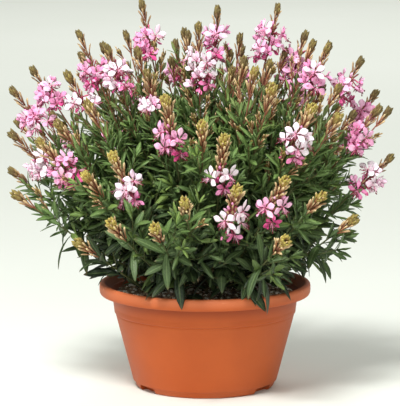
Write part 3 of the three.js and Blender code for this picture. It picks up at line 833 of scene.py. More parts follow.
def calyx_finish():
    """Flower tubes, calyx lobes and spent flowers: dark red and rose, greener at the foot."""
    m = Finish("calyx", 0.35)
    tone, along = map(m.attribute, ("tone", "along"))
    streaks = m.noise(600, 2)
    m.colour = m.mix(tone, (138, 40, 62), (222, 106, 140))
    m.lay((1 - along.rise(0.0, 0.3)) * 0.5, (110, 74, 52))
    m.lay(streaks.rise(0.5, 0.75) * 0.3, (96, 28, 44))
    return m.done(0.5 + streaks * 0.15, streaks, 0.00015)


def floor_finish():
    """A pale, nearly even studio floor."""
    m = Finish("studio_floor", 0.2)
    cloud = m.noise(1.5, 2)
    m.colour = m.mix(cloud, (226, 230, 220), (231, 234, 226))
    return m.done(0.85 + cloud * 0.1)


FINISHES = {
    "pot": pot_finish(),
    "soil": soil_finish(),
    "perlite": grit_finish("perlite", (250, 240, 216), (255, 252, 242), 500, 0.06),
    "bark": grit_finish("bark", (84, 56, 40), (150, 108, 76), 260, 0.5),
    "stone": grit_finish("stone", (118, 98, 78), (214, 190, 158), 220, 0.5),
    "leaf": leaf_finish(),
    "stem": stem_finish(),
    "bud": bud_finish(),
    "slender": slender_finish(),
    "petal": petal_finish(),
    "thread": thread_finish(),
    "calyx": calyx_finish(),
}


# Small shapes that are repeated. Each blade and spindle is one unit long on +X, with its upper side to +Z.
def shape_mesh(name, points, faces, **attributes):
    """A smooth closed mesh whose points carry numbers for its finish."""
    mesh = bpy.data.meshes.new(name)
    mesh.from_pydata([tuple(p) for p in points], [], faces)
    for key, values in attributes.items():
        carry(mesh, key, "FLOAT", values)
    edit = bmesh.new()
    edit.from_mesh(mesh)
    bmesh.ops.recalc_face_normals(edit, faces=edit.faces)
    return ended(edit, mesh)


def carry(mesh, name, kind, values):
    """Gives each point of a mesh an attribute."""
    layer = mesh.attributes.new(name, kind, "POINT")
    layer.data.foreach_set("vector" if kind == "FLOAT_VECTOR" else "value", np.ravel(values))


def ended(edit, mesh):
    """Puts what was edited into a mesh, with smooth shading."""
    edit.to_mesh(mesh)
    edit.free()
    mesh.shade_smooth()
    return mesh


def closed_rows(sides, count):
    """The rows' faces for so many rings of points, which close in a first and a last point."""
    rows = [range(1 + sides * i, 1 + sides * (i + 1)) for i in range(count)]
    last = 1 + sides * count
    faces = []
    for near, far in zip(rows, rows[1:]):
        faces += [(near[k], near[(k + 1) % sides], far[(k + 1) % sides], far[k]) for k in range(sides)]
    faces += [(0, rows[0][(k + 1) % sides], rows[0][k]) for k in range(sides)]
    faces += [(last, rows[-1][k], rows[-1][(k + 1) % sides]) for k in range(sides)]
    return faces


def blade(
    name,
    outline,
    broad,
    thick,
    spots=(-1, -0.55, 0, 0.55, 1),
    fold=0.0,
    arch=0.0,
    sway=0.0,
    twist=0.0,
    wave=0.0,
    cup=0.0,
):
    """A thin closed blade, given by (distance along, share of its full width) between its two points."""
    points, along, across, under = [], [], [], []

    def put(s, width, u, below):
        y = 0.5 * u * width * broad
        z = fold * abs(y) - cup * y * y + wave * math.sin(9 * s + 2 * u) * abs(u) - below
        turn = twist * s
        y, z = y * math.cos(turn) - z * math.sin(turn), y * math.sin(turn) + z * math.cos(turn)
        points.append((s, y + sway * s * s, z - arch * s * s))
        along.append(s)
        across.append(abs(u))
        under.append(1.0 if below else 0.0)

    put(0, 0, 0, 0)
    for s, width in outline:
        for u in spots:
            put(s, width, u, 0)
        put(s, width, 0, thick)
    put(1, 0, 0, 0)
    faces = closed_rows(len(spots) + 1, len(outline))
    return shape_mesh(name, points, faces, along=along, across=across, under=under)


def spindle(name, profile, sides=5, arch=0.0, flute=0.0):
    """A closed round shape, given by (distance along, radius) between its two points."""
    points = [(0.0, 0.0, 0.0)]
    for s, radius in profile:
        for k in range(sides):
            angle = 2 * math.pi * k / sides
            r = radius * (1 + flute * (-1) ** k)
            points.append((s, r * math.cos(angle), r * math.sin(angle) - arch * s * s))
    points.append((1.0, 0.0, -arch))
    faces = closed_rows(sides, len(profile))
    return shape_mesh(name, points, faces, along=[point[0] for point in points])


def lump(name, seed, rough, squash, detail=1):
    """A small uneven stone, about one unit across."""
    edit = bmesh.new()
    bmesh.ops.create_icosphere(edit, subdivisions=detail, radius=0.5)
    for vertex in edit.verts:
        swell = 1 + rough * noise.noise(vertex.co * 3.1 + Vector((seed * 7.3, 1.7, seed)))
        vertex.co = Vector(c * swell * s for c, s in zip(vertex.co, squash))
    return ended(edit, bpy.data.meshes.new(name))


DROOPING = 4  # the leaf shape that hangs, after those that are picked in turn
NEARLY_FLAT = 0
LANCE = ((0.06, 0.18), (0.2, 0.46), (0.42, 0.88), (0.62, 1.0), (0.81, 0.74), (0.94, 0.32))
SIMPLE_LANCE = ((0.2, 0.55), (0.58, 1.0), (0.88, 0.52))
OVAL = ((0.08, 0.14), (0.24, 0.28), (0.43, 0.76), (0.6, 1.0), (0.76, 0.88), (0.9, 0.5), (0.97, 0.18))
BUD = ((0.14, 0.1), (0.5, 0.19), (0.82, 0.11))
SLIM = ((0.08, 0.038), (0.5, 0.05), (0.84, 0.066))
THREAD = ((0.02, 0.022), (0.4, 0.019), (0.76, 0.017), (0.8, 0.06), (0.92, 0.05))

# Each kind of shape: how it is made, what its variants share, and what sets each of them apart.
SHAPE_PLANS = {
    "leaf": (blade, dict(outline=LANCE, broad=LEAF_SHARE, thick=0.012), [
        dict(fold=0.35, arch=0.14),
        dict(fold=0.2, arch=0.24, sway=0.06, wave=0.006),
        dict(fold=0.5, arch=0.06, sway=-0.05, twist=0.25),
        dict(fold=0.3, arch=0.32, twist=-0.3, wave=0.008),
        dict(fold=0.3, arch=0.5, sway=0.05),
    ]),
    "leaflet": (blade, dict(outline=SIMPLE_LANCE, broad=LEAF_SHARE, thick=0.014, spots=(-1, 0, 1)), [
        dict(fold=0.35, arch=0.1),
        dict(fold=0.25, arch=0.24, sway=0.06),
        dict(fold=0.5, sway=-0.05, twist=0.3),
    ]),
    "petal": (blade, dict(outline=OVAL, broad=0.64, thick=0.02), [
        dict(fold=0.12, arch=0.05, cup=0.5),
        dict(fold=0.2, arch=0.16, sway=0.04, wave=0.015),
        dict(fold=-0.1, arch=-0.08, sway=-0.04, twist=0.2, wave=0.02),
    ]),
    "lobe": (blade, dict(outline=LANCE, broad=0.17, thick=0.03), [dict(fold=0.4, arch=0.25, twist=0.4)]),
    "bud": (spindle, dict(profile=BUD), [dict(flute=0.08), dict(arch=0.08), dict(arch=-0.1)]),
    "slender": (spindle, dict(profile=SLIM), [dict(arch=0.05), dict(arch=-0.1, flute=0.08)]),
    "thread": (spindle, dict(profile=THREAD, sides=4), [dict(arch=0.12), dict(arch=-0.1)]),
    "perlite": (lump, dict(rough=0.5, squash=(1, 0.85, 0.75)), [dict(seed=i) for i in (0, 1, 2)]),
    "bark": (lump, dict(rough=0.9, squash=(1, 0.45, 0.22)), [dict(seed=i) for i in (5, 6, 7)]),
    "stone": (lump, dict(rough=0.35, squash=(1, 0.8, 0.6), detail=2), [dict(seed=i) for i in (9, 10, 11)]),
}


def family(kind, build, shared, variants):
    """A collection of shapes to pick from, which isn't shown itself."""
    made = bpy.data.collections.new(f"{kind}_shape")
    for i, variant in enumerate(variants):
        mesh = build(f"{kind}_{i}", **shared, **variant)
        made.objects.link(bpy.data.objects.new(f"{kind}_shape_{i}", mesh))
    return made


SHAPES = {kind: family(kind, *plan) for kind, plan in SHAPE_PLANS.items()}


# Geometry Nodes trees: copies of shapes on points, tubes along lines, and grit over a surface.
def new_tree(name, **inputs):
    """A tree with named inputs, and the sockets that carry them."""
    tree = bpy.data.node_groups.new(name, "GeometryNodeTree")
    tree.interface.new_socket("Geometry", in_out="INPUT", socket_type="NodeSocketGeometry")
    for label, kind in inputs.items():
        tree.interface.new_socket(label, in_out="INPUT", socket_type="NodeSocket" + kind)
    tree.interface.new_socket("Geometry", in_out="OUTPUT", socket_type="NodeSocketGeometry")
    graph = Graph(tree)
    return graph, graph.node("NodeGroupInput").outputs


def finish_tree(graph, given, geometry):
    """Ends a tree: real geometry with one material."""
    whole = graph.node("GeometryNodeRealizeInstances", {"Geometry": geometry}).outputs[0]
    made = graph.node("GeometryNodeSetMaterial", {"Geometry": whole, "Material": given["Finish"]})
    graph.node("NodeGroupOutput", {"Geometry": made.outputs[0]})
    return graph.tree


def named(graph, name, kind):
    """An attribute that the points carry."""
    return graph.node("GeometryNodeInputNamedAttribute", {"Name": name}, data_type=kind).outputs[0]


def put_shapes(graph, given, points, pick, turn, size):
    """One of the given shapes on each point."""
    sockets = {"Collection": given["Shapes"], "Separate Children": True, "Reset Children": True}
    shapes = graph.node("GeometryNodeCollectionInfo", sockets)
    sockets = {
        "Points": points,
        "Instance": shapes.outputs[0],
        "Pick Instance": True,
        "Instance Index": pick,
        "Rotation": turn,
        "Scale": size,
    }
    return graph.node("GeometryNodeInstanceOnPoints", sockets).outputs[0]


def scatter_tree():
    """Puts a shape from a collection on each point, by the point's own turn, size and pick."""
    graph, given = new_tree("scatter", Shapes="Collection", Size="Float", Finish="Material")
    pick, turn = named(graph, "pick", "INT"), named(graph, "turn", "QUATERNION")
    sockets = {0: named(graph, "size", "FLOAT_VECTOR"), "Scale": given["Size"]}
    size = graph.node("ShaderNodeVectorMath", sockets, operation="SCALE").outputs[0]
    return finish_tree(graph, given, put_shapes(graph, given, given["Geometry"], pick, turn, size))


def tube_tree():
    """Runs a round tube along each line of edges, as thick as its points say."""
    graph, given = new_tree("tubes", Sides="Int", Thickness="Float", Finish="Material")
    line = graph.node("GeometryNodeMeshToCurve", {0: given["Geometry"]})
    thick = Value(graph, named(graph, "thick", "FLOAT")) * Value(graph, given["Thickness"])
    line = graph.node("GeometryNodeSetCurveRadius", {"Curve": line.outputs[0], "Radius": thick})
    circle = graph.node("GeometryNodeCurvePrimitiveCircle", {"Resolution": given["Sides"], "Radius": 1.0})
    sockets = {
        "Curve": line.outputs[0],
        "Profile Curve": circle.outputs[0],
        "Scale": graph.node("GeometryNodeInputRadius").outputs[0],
        "Fill Caps": True,
    }
    return finish_tree(graph, given, graph.node("GeometryNodeCurveToMesh", sockets).outputs[0])


def grit_tree():
    """Strews shapes over the faces of a mesh that look up."""
    sizes = {"Density": "Float", "Smallest": "Float", "Largest": "Float"}
    graph, given = new_tree("grit", Shapes="Collection", **sizes, Seed="Int", Finish="Material")

    def random(kind, low, high, shift):
        """A random number or vector for each point. Another shift of the seed gives another run."""
        first = {"FLOAT_VECTOR": 0, "FLOAT": 2, "INT": 4}[kind]
        sockets = {first: low, first + 1: high, "Seed": Value(graph, given["Seed"]) + shift}
        return graph.node("FunctionNodeRandomValue", sockets, data_type=kind).outputs[first // 2]

    normal = graph.node("GeometryNodeInputNormal").outputs[0]
    up = Value(graph, graph.node("ShaderNodeSeparateXYZ", {0: normal}).outputs[2])
    sockets = {
        "Mesh": given["Geometry"],
        "Selection": up.maths("GREATER_THAN", up, 0.7),
        "Density": given["Density"],
        "Seed": given["Seed"],
    }
    points = graph.node("GeometryNodeDistributePointsOnFaces", sockets, distribute_method="RANDOM")
    turn = random("FLOAT_VECTOR", (-0.5, -0.5, 0.0), (0.5, 0.5, 6.283), 1)
    pick = random("INT", 0, 2, 2)
    size = random("FLOAT", given["Smallest"], given["Largest"], 3)
    grit = put_shapes(graph, given, points.outputs["Points"], pick, turn, size)
    sockets = {"Geometry": grit, "Name": "tone", "Value": random("FLOAT", 0.0, 1.0, 4)}
    settings = {"data_type": "FLOAT", "domain": "INSTANCE"}
    toned = graph.node("GeometryNodeStoreNamedAttribute", sockets, **settings)
    return finish_tree(graph, given, toned.outputs[0])


SCATTER = scatter_tree()
TUBES = tube_tree()
GRIT = grit_tree()


def evaluated(source):
    """The plain mesh that an object shows, with its modifiers worked out. The object is removed."""
    bpy.context.scene.collection.objects.link(source)
    graph = bpy.context.evaluated_depsgraph_get()
    made = bpy.data.meshes.new_from_object(
        source.evaluated_get(graph), preserve_all_data_layers=True, depsgraph=graph
    )
    bpy.data.objects.remove(source)
    return made


def grown(tree, mesh, **inputs):
    """What a tree makes from a mesh."""
    source = bpy.data.objects.new("source", mesh)
    modifier = source.modifiers.new("grow", "NODES")
    modifier.node_group = tree
    sockets = {item.name: item.identifier for item in tree.interface.items_tree if item.in_out == "INPUT"}
    for name, value in inputs.items():
        modifier[sockets[name]] = value
    made = evaluated(source)
    for spare in ("turn", "size", "pick", "thick", "radius"):
        if spare in made.attributes:
            made.attributes.remove(made.attributes[spare])
    made.shade_smooth()
    return made


class Sown:
    """Places for copies of one kind of small shape, each with its turn, size and tone."""

    LAYERS = {"turn": "QUATERNION", "size": "FLOAT_VECTOR", "tone": "FLOAT", "age": "FLOAT", "pick": "INT"}

    def __init__(self, kind, finish):
        self.kind = kind
        self.finish = finish
        self.rows = []
        self.usual = DROOPING if kind == "leaf" else len(SHAPES[kind].objects)

    def add(self, place, way, normal, length, broad=1.0, tone=0.5, age=0.5, pick=None):
        """A copy that starts at a place and points along a way, with its upper side to the normal."""
        x = unit(way)
        z = square_to(normal, x)
        turn = Matrix((x, np.cross(z, x), z)).transposed().to_quaternion()
        size = np.array((length, length * broad, length * broad)) * MM
        if SHAPE_PLANS[self.kind][0] is blade:
            size[2] = length * MM
        if pick is None:
            pick = 7 * len(self.rows) % self.usual
        self.rows.append((place * MM, tuple(turn), size, tone, age, pick))

    def mesh(self):
        mesh = bpy.data.meshes.new(self.kind)
        mesh.from_pydata([tuple(row[0]) for row in self.rows], [], [])
        for k, (name, kind) in enumerate(self.LAYERS.items(), 1):
            carry(mesh, name, kind, [row[k] for row in self.rows])
        return grown(SCATTER, mesh, Shapes=SHAPES[self.kind], Size=1.0, Finish=FINISHES[self.finish])


class Stalks:
    """Lines that become tubes, each with its thickness, age and tone."""

    def __init__(self, finish):
        self.finish = finish
        self.points, self.edges = [], []
        self.layers = {"thick": [], "age": [], "along": [], "tone": []}

    def add(self, path, thick, age, tone):
        first = len(self.points)
        self.points += [tuple(np.array(p) * MM) for p in path]
        self.edges += [(first + i, first + i + 1) for i in range(len(path) - 1)]
        self.layers["thick"] += [t * MM for t in thick]
        self.layers["age"] += list(age)
        self.layers["along"] += list(np.linspace(0, 1, len(path)))
        self.layers["tone"] += [tone] * len(path)

    def mesh(self):
        mesh = bpy.data.meshes.new("lines")
        mesh.from_pydata(self.points, self.edges, [])
        for name, values in self.layers.items():
            carry(mesh, name, "FLOAT", values)
        return grown(TUBES, mesh, Sides=TUBE_SIDES, Thickness=1.0, Finish=FINISHES[self.finish])


def joined(name, meshes, node):
    """Makes one piece from several meshes, which stands for a node of the part."""
    objects = [bpy.data.objects.new(name, mesh) for mesh in meshes]
    for made in objects:
        bpy.context.scene.collection.objects.link(made)
    piece = objects[0]
    if len(objects) > 1:
        with bpy.context.temp_override(active_object=piece, selected_editable_objects=objects):
            bpy.ops.object.join()
    piece.name = name
    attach(piece, "root")
    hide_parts(node)


def age_at(place):
    """How young a part of the plant is, from 0 at the soil to 1 at the top."""
    old, young = AGE_REACH
    return float(np.clip((np.linalg.norm(place - CROWN) - old) / (young - old), 0, 1))


def nearness(place):
    """From 0 in the plant's middle and at its back to 1 at its front, where the spikes are fullest."""
    return float(np.clip(-place[1] / FRONT_REACH, 0, 1))


def by_age(pair, age):
    """A value between the one at the soil and the one at the plant's top."""
    return blend(*pair, age)


class Greenery:
    """What one leafy stem carries: its wood, leaves and buds, as places for small shapes."""

    def __init__(self, stem, seed):
        self.stem = stem
        self.vary = np.random.default_rng(seed).uniform
        self.leaves, self.leaflets = Sown("leaf", "leaf"), Sown("leaflet", "leaf")
        self.slender, self.buds = Sown("slender", "slender"), Sown("bud", "bud")
        self.stalks = Stalks("stem")

    def wood(self, path, thick):
        ages = [age_at(place) for place in path]
        self.stalks.add(path, [t * WOOD for t in thick], ages, self.vary(0, 1))

    def leaf(self, place, axis, turn, size=1.0, tilt=None, droops=False, tone=None):
        """A leaf that leans out from its stem, unless it would touch the soil or the rim."""
        age, vary = age_at(place), self.vary
        if vary() < SPARSE * np.interp(age, (0.78, 1), (0, 1)):
            return
        length = by_age(LEAF_LENGTHS, age) * size * vary(*LEAF_SPREAD)
        tilt = by_age(LEAF_TILTS, age) + vary(-14, 14) if tilt is None else tilt
        way = swing(axis, turned(axis, turn), tilt)
        sink = UP * (DROOP_SAG if droops else LEAF_SAG)
        shares = np.linspace(0, 1, 9)[:, None]
        for smaller in LEAF_CUTS:
            if above_ground(place + (way * shares - sink * shares**2) * length * smaller):
                break
        length *= smaller
        if length < SHORTEST_LEAF:
            return
        group = self.leaves if length > SMALL_LEAF else self.leaflets
        broad = by_age(LEAF_BREADTHS, age) * vary(0.85, 1.12)
        normal = UP if droops else square_to(axis, way)
        pick = DROOPING if droops and group is self.leaves else None
        tone = vary(0, 1) ** 1.5 if tone is None else tone
        group.add(place, way, normal, length, broad, tone, age, pick)

    def slender_bud(self, place, axis, turn, size, pale=0.0, splay=0.0):
        """A long bud that hugs its shoot, paler and more splayed away from the plant's front."""
        vary, near = self.vary, nearness(place)
        out = turned(axis, turn)
        way = swing(axis, out, vary(4, 15) + near * vary(-2, 13) + splay * (1 - near))
        size *= vary(0.85, 1.15) * (1 + 0.25 * near)
        tone = np.clip(0.35 * near + pale * (1 - near) + vary(-0.1, 0.6), 0, 1)
        foot = place + out * (0.6 + near)
        self.slender.add(foot, way, out, size, vary(0.9, 1.25), tone)

    def twig(self, root, axis, turn, length):
        """A short leafy side branch with a tuft at its end, or higher up with a few buds."""
        vary = self.vary
        tilt = by_age(TWIG_TILTS, age_at(root)) + vary(-8, 8)
        way = swing(axis, turned(axis, turn), tilt)
        lift = UP * TWIG_LIFT * length

        def spot_at(t):
            return root + way * length * t + lift * t * t

        path = [spot_at(t) for t in (0, 0.5, 1)]
        if not above_ground(path):
            return
        self.wood(path, TWIG_THICK)
        age = age_at(path[-1])
        gap = by_age(LEAF_GAPS, age) * 0.9
        count = int(length / gap)
        budding = vary() < by_age(TWIG_BUDDING, age)
        for k in range(count):
            t = (k + 0.6) / count
            spot = spot_at(t)
            if budding and t > 0.45:
                self.slender_bud(spot, way, GOLDEN * k + turn, size=9, pale=PALER)
                self.slender_bud(spot + way * 2, way, GOLDEN * k + turn + 180, size=9, pale=PALER)
            else:
                self.leaf(spot, way, GOLDEN * k + turn, size=0.88)
        if budding:
            self.cluster(path[-1] + way * 6, way, scale=vary(0.5, 0.72), yellow=0.7 - 0.45 * age)
            return
        fresh = vary(0.86, 1.0) if vary() < 0.25 else None
        for k in range(TUFT_LEAVES):
            round_end = 360 / TUFT_LEAVES * k + turn
            self.leaf(path[-1], way, round_end, size=0.62, tilt=vary(12, 42), tone=fresh)

    def trunk(self):
        """The stem's own wood and its large leaves, up to where its last shoot leaves it."""
        stem, vary = self.stem, self.vary
        foot = (WOOD_FOOT_Z - CROWN[2]) / stem.way[2]
        top = max(shoot.fork for shoot in stem.shoots) + 4
        side = square_to(FRONT, stem.way)
        reach = np.linspace(foot, top, 9)
        path = [CROWN + stem.way * s + side * 0.5 * math.sin(0.09 * s + 3 * stem.way[0]) for s in reach]
        self.wood(path, np.linspace(STEM_R, STEM_TOP_R, 9))
        for leaf in stem.leaves:
            age = age_at(leaf.root)
            broad = by_age(LEAF_BREADTHS, age) * vary(0.85, 1.05)
            tone = vary(0, 0.7)
            self.leaves.add(leaf.root, leaf.way, leaf.normal, leaf.length, broad, tone, age, NEARLY_FLAT)
        lowest = LEAVES_FROM if abs(stem.way[0]) < abs(stem.way[1]) else SIDE_LEAVES_FROM
        s, k = lowest / stem.way[2], 0
        while s < top:
            place = CROWN + stem.way * s
            self.leaf(place, stem.way, GOLDEN * k + 90, droops=k % 2 == 0)
            if k % 2 == 1:
                self.twig(place, stem.way, GOLDEN * k + 150, by_age(TWIG_LENGTHS, age_at(place)))
            s += by_age(LEAF_GAPS, age_at(place))
            k += 1

    def rosette(self, place, hanging):
        """A low twig that ends in a whorl of large leaves. Some hang, and one may hang over the rim."""
        vary = self.vary
        reach = np.linalg.norm(place - CROWN)
        root = CROWN + self.stem.way * reach * 0.72
        path = [root, blend(root, place, 0.5) - UP * 3, place]
        self.wood(path, (1.1, 1.0, 0.8))
        axis = unit(unit(place - root) + UP * 0.5)
        for k in range(ROSETTE_LEAVES):
            turn = GOLDEN * k + vary(-15, 15)
            size, tilt = vary(1.15, 1.4), vary(66, 112)
            spot = place - axis * 1.6 * (ROSETTE_LEAVES - k)
            self.leaf(spot, axis, turn, size, tilt, droops=k < ROSETTE_DROOPING)
        for turn in (0, 120, 240):
            self.leaf(place, axis, turn, size=0.6, tilt=vary(20, 40))
        if hanging is not None:
            self.leaf(place - axis * 3, axis, hanging, size=1.35, tilt=84, droops=True)

    def shoot(self, shoot):
        """A shoot in its curve and its straight run, with leaves, slender buds and its spike."""
        vary = self.vary
        lowest = max((flower.down for flower in shoot.flowers), default=36)
        bent = [shoot.on_bend(t) for t in np.linspace(0, 1, 10)]
        run = [blend(shoot.neck, shoot.tip, t) for t in np.linspace(0.12, 0.95, 9)]
        sway = turned(shoot.axis, vary(0, 360))
        run = [p + sway * 0.45 * math.sin(0.11 * i * shoot.straight) for i, p in enumerate(run)]
        self.wood([*bent, *run], [*np.linspace(SHOOT_FOOT_R, SHOOT_R, 10), *np.linspace(SHOOT_R, 0.75, 9)])

        length = np.linalg.norm(bent[-1] - bent[0])
        s, next_twig, k = vary(0, 5), 0.0, 0
        low = shoot.axis[2] < LOW_SHOOT
        while s < length:
            place = shoot.on_bend(s / length)
            axis = unit(shoot.on_bend(s / length + 0.02) - place)
            age = age_at(place)
            if low and k % 2 == 0:
                self.leaf(place, axis, GOLDEN * k + 50, size=1.3, tilt=vary(70, 105), droops=True)
            else:
                self.leaf(place, axis, GOLDEN * k + 50)
            if s > next_twig:
                self.twig(place, axis, GOLDEN * k + 160, by_age(TWIG_LENGTHS, age) * vary(0.6, 1.1))
                next_twig += by_age(TWIG_GAPS, age) * (1.5 if low else 1)
            s += by_age(LEAF_GAPS, age) * (1.3 if low else 1)
            k += 1
        down = shoot.straight
        while down > lowest + 6:
            place = shoot.tip - shoot.axis * down
            self.leaf(place, shoot.axis, GOLDEN * k, size=0.95, tilt=vary(20, 44))
            down -= vary(3, 6)
            k += 1
        self.spike(shoot, lowest + 3 if shoot.flowers else 34 + 12 * nearness(shoot.tip))

    def spike(self, shoot, foot):
        """The slender buds that hug the top of a shoot, and the brush of tight buds above them."""
        vary = self.vary
        near = nearness(shoot.tip)
        yellow = 0.05 + 0.7 * near**1.5
        pale = 0.0 if shoot.flowers else vary(0, PALER)
        down, k = SLENDER_TOP, 0
        while down < foot:
            place = shoot.tip - shoot.axis * down
            size = np.interp(down, (SLENDER_TOP, 28), (10, 15.5))
            splay = np.interp(down, (SLENDER_TOP, 30), (0, 10))
            self.slender_bud(place, shoot.axis, GOLDEN * k + 20, size, pale, splay)
            down += SLENDER_STEP * vary(0.6, 1.3) * (1 if down < 36 else 1.7) * (1 - 0.45 * near)
            k += 1
        width = np.interp(shoot.tip[2], (380, 430), (1, 0.8)) * vary(0.88, 1.0)
        self.cluster(shoot.tip, shoot.axis, vary(0.94, 1.06) + 0.12 * near, yellow, width, near)

    def cluster(self, tip, axis, scale, yellow, width=1.0, near=0.0):
        """A brush of tight pointed buds, which stand further apart at the plant's front."""
        vary = self.vary
        count = int(SPIKE_BUDS * scale**1.6)
        for k in range(count):
            share = k / (count - 1)
            down = blend(SPIKE_FOOT, SPIKE_TOP, share**0.8) * scale
            size = blend(*BUD_LENGTHS, share) * vary(0.85, 1.12) * scale
            reach = width * scale * np.interp(down / scale, SPIKE_DOWN, SPIKE_REACH)
            lean = math.asin(0.45 * reach / size) + near * math.radians(vary(-2, 14))
            out = turned(axis, GOLDEN * k)
            way = axis * math.cos(lean) + out * math.sin(lean)
            tone = np.clip(yellow + vary(-0.25, 0.2), 0, 1)
            foot = tip - axis * down + out * 0.5 * reach
            self.buds.add(foot, way, out, size, vary(0.9, 1.2), tone)

    def meshes(self):
        groups = (self.leaves, self.leaflets, self.stalks, self.slender, self.buds)
        return [group.mesh() for group in groups]


def rosette_places():
    """The rosettes in front, and those at the sides and the back, which keep to a ring."""
    places = [np.array(place, float) for place in FRONT_ROSETTES]
    ring, height = ROSETTE_RING
    for k in range(BACK_ROSETTES):
        turn = math.radians(18 + 12 * k)
        r = ring * (0.9 + 0.3 * chance(k, 1, 7))
        z = height * (0.94 + 0.3 * chance(k, 2, 7))
        places.append(np.array([r * math.cos(turn), r * math.sin(turn), z]))
    return places


def dress_stem(number, stem):
    """The piece for a leafy stem: wood, leaves, slender buds and spikes."""
    green = Greenery(stem, 100 + number)
    green.trunk()
    for k, place in enumerate(rosette_places()):
        if np.argmax(WAYS @ unit(place - CROWN)) == number:
            green.rosette(place, HANGING.get(k))
    for shoot in [*stem.shoots, *stem.slim]:
        green.shoot(shoot)
    joined(f"leafy_{stem.name}", green.meshes(), f"stem_{stem.name}")


class Bloom:
    """What one shoot carries in flower: petals, threads, tubes and calyxes, as places for small shapes."""

    def __init__(self, shoot, seed):
        self.shoot = shoot
        self.tint = TINTS[shoot.tint]
        self.rng = np.random.default_rng(seed)
        self.vary = self.rng.uniform
        self.petals, self.threads = Sown("petal", "petal"), Sown("thread", "thread")
        self.lobes, self.tubes = Sown("lobe", "calyx"), Stalks("calyx")
        self.calyxes, self.closed = Sown("slender", "calyx"), Sown("bud", "petal")

    def open_flower(self, flower, twist, fading):
        """Four petals, eight stamens and a style that hang, and four lobes bent back, on a slender tube.

        The petals of a fading flower hang, and are smaller, narrower and deeper pink.
        """
        vary = self.vary
        tone = self.tint + vary(0, 0.16)
        for turn in PETAL_TURNS:
            spoke = flower.spoke(turn + twist + vary(-5, 5))
            way = swing(spoke, flower.face, vary(-4, 16))
            way = unit(way - UP * fading * vary(0.4, 1.0))
            place = flower.centre + spoke * 0.9
            size = (PETAL_R - 0.6) * vary(0.93, 1.04) * (1 - 0.2 * fading)
            shade = np.clip(tone + 0.8 * fading + vary(-0.08, 0.08), 0, 1)
            self.petals.add(place, way, flower.face, size, vary(0.88, 1.08) - 0.25 * fading, shade)
        for k in range(STAMENS + 1):
            spread = -1 + 2 * k / STAMENS
            way = flower.face * vary(0.5, 0.9) - flower.up * vary(0.55, 1.0)
            way = unit(way + flower.right * 0.55 * spread)
            size = STYLE_LENGTH if k == STAMENS / 2 else vary(8, 10.5)
            start = flower.centre + flower.face * 0.4
            self.threads.add(start, way, flower.face, size, tone=vary(0.2, 0.9))
        for k in range(4):
            way = -flower.face * 0.5 - flower.up * vary(0.4, 0.9) + flower.right * (k - 1.5) * 0.42
            start = flower.centre - flower.face * 1.2
            size = vary(8.5, 11)
            self.lobes.add(start, unit(way), -flower.face, size, broad=1.1, tone=vary(0.2, 0.9))
        rise = flower.foot + flower.out * 5 + flower.up * 1.6
        path = [flower.foot, rise, flower.centre - flower.face * 3.4, flower.centre + flower.face * 0.2]
        self.tubes.add(path, (0.75, 0.7, 0.85, 1.15), (0.6, 0.7, 0.8, 0.9), vary(0.2, 0.6))

    def half_open(self, down, turn):
        """A flower that is still opening: smaller, with its petals held forward."""
        vary = self.vary
        tone = self.tint + vary(0.05, 0.35)
        flower = Flower(self.shoot, down, turn)
        middle = blend(flower.foot, flower.centre, vary(0.6, 0.85))
        for petal_turn in PETAL_TURNS:
            spoke = flower.spoke(petal_turn + vary(-14, 14))
            way = swing(spoke, flower.face, vary(32, 62))
            shade = np.clip(tone + vary(-0.1, 0.1), 0, 1)
            self.petals.add(middle + spoke * 0.5, way, flower.face, vary(9, 12), broad=0.95, tone=shade)
        path = [flower.foot, blend(flower.foot, middle, 0.5) + flower.up, middle]
        self.tubes.add(path, SMALL_TUBE, (0.8, 0.8, 0.8), vary(0.3, 0.8))

    def spent(self, down, turn):
        """A spent flower: a small deep pink tassel that hangs from its tube."""
        shoot, vary = self.shoot, self.vary
        out = turned(shoot.axis, turn)
        foot = shoot.tip - shoot.axis * down
        end = foot + out * vary(4.5, 8)
        path = [foot, blend(foot, end, 0.5) + shoot.axis, end]
        self.tubes.add(path, SMALL_TUBE, (0.8, 0.8, 0.8), 0.25)
        for k in range(3):
            way = unit(out * 0.7 - UP * vary(0.3, 0.9) + np.cross(out, UP) * (k - 1) * 0.35)
            self.petals.add(end, way, out, vary(6.5, 10), broad=0.62, tone=vary(0.66, 1.0))

    def sleeve(self, highest, lowest):
        """The calyxes that stand off the shoot all the way round, and a closed flower on every fifth."""
        shoot, vary = self.shoot, self.vary
        down, k = highest - 4, 0
        while down < lowest + 5:
            out = turned(shoot.axis, GOLDEN * k + 70)
            way = swing(shoot.axis, out, vary(22, 48))
            place = shoot.tip - shoot.axis * down + out * 0.5
            self.calyxes.add(place, way, out, vary(6, 11), vary(1.1, 1.7), vary(0, 1))
            if k % 5 == 2:
                self.closed.add(place + way * 6, way, out, vary(8, 10), broad=1.1, tone=vary(0.3, 0.7))
            down += vary(1.4, 2.6)
            k += 1

    def meshes(self):
        groups = (self.petals, self.threads, self.lobes, self.tubes, self.calyxes, self.closed)
        return [group.mesh() for group in groups]


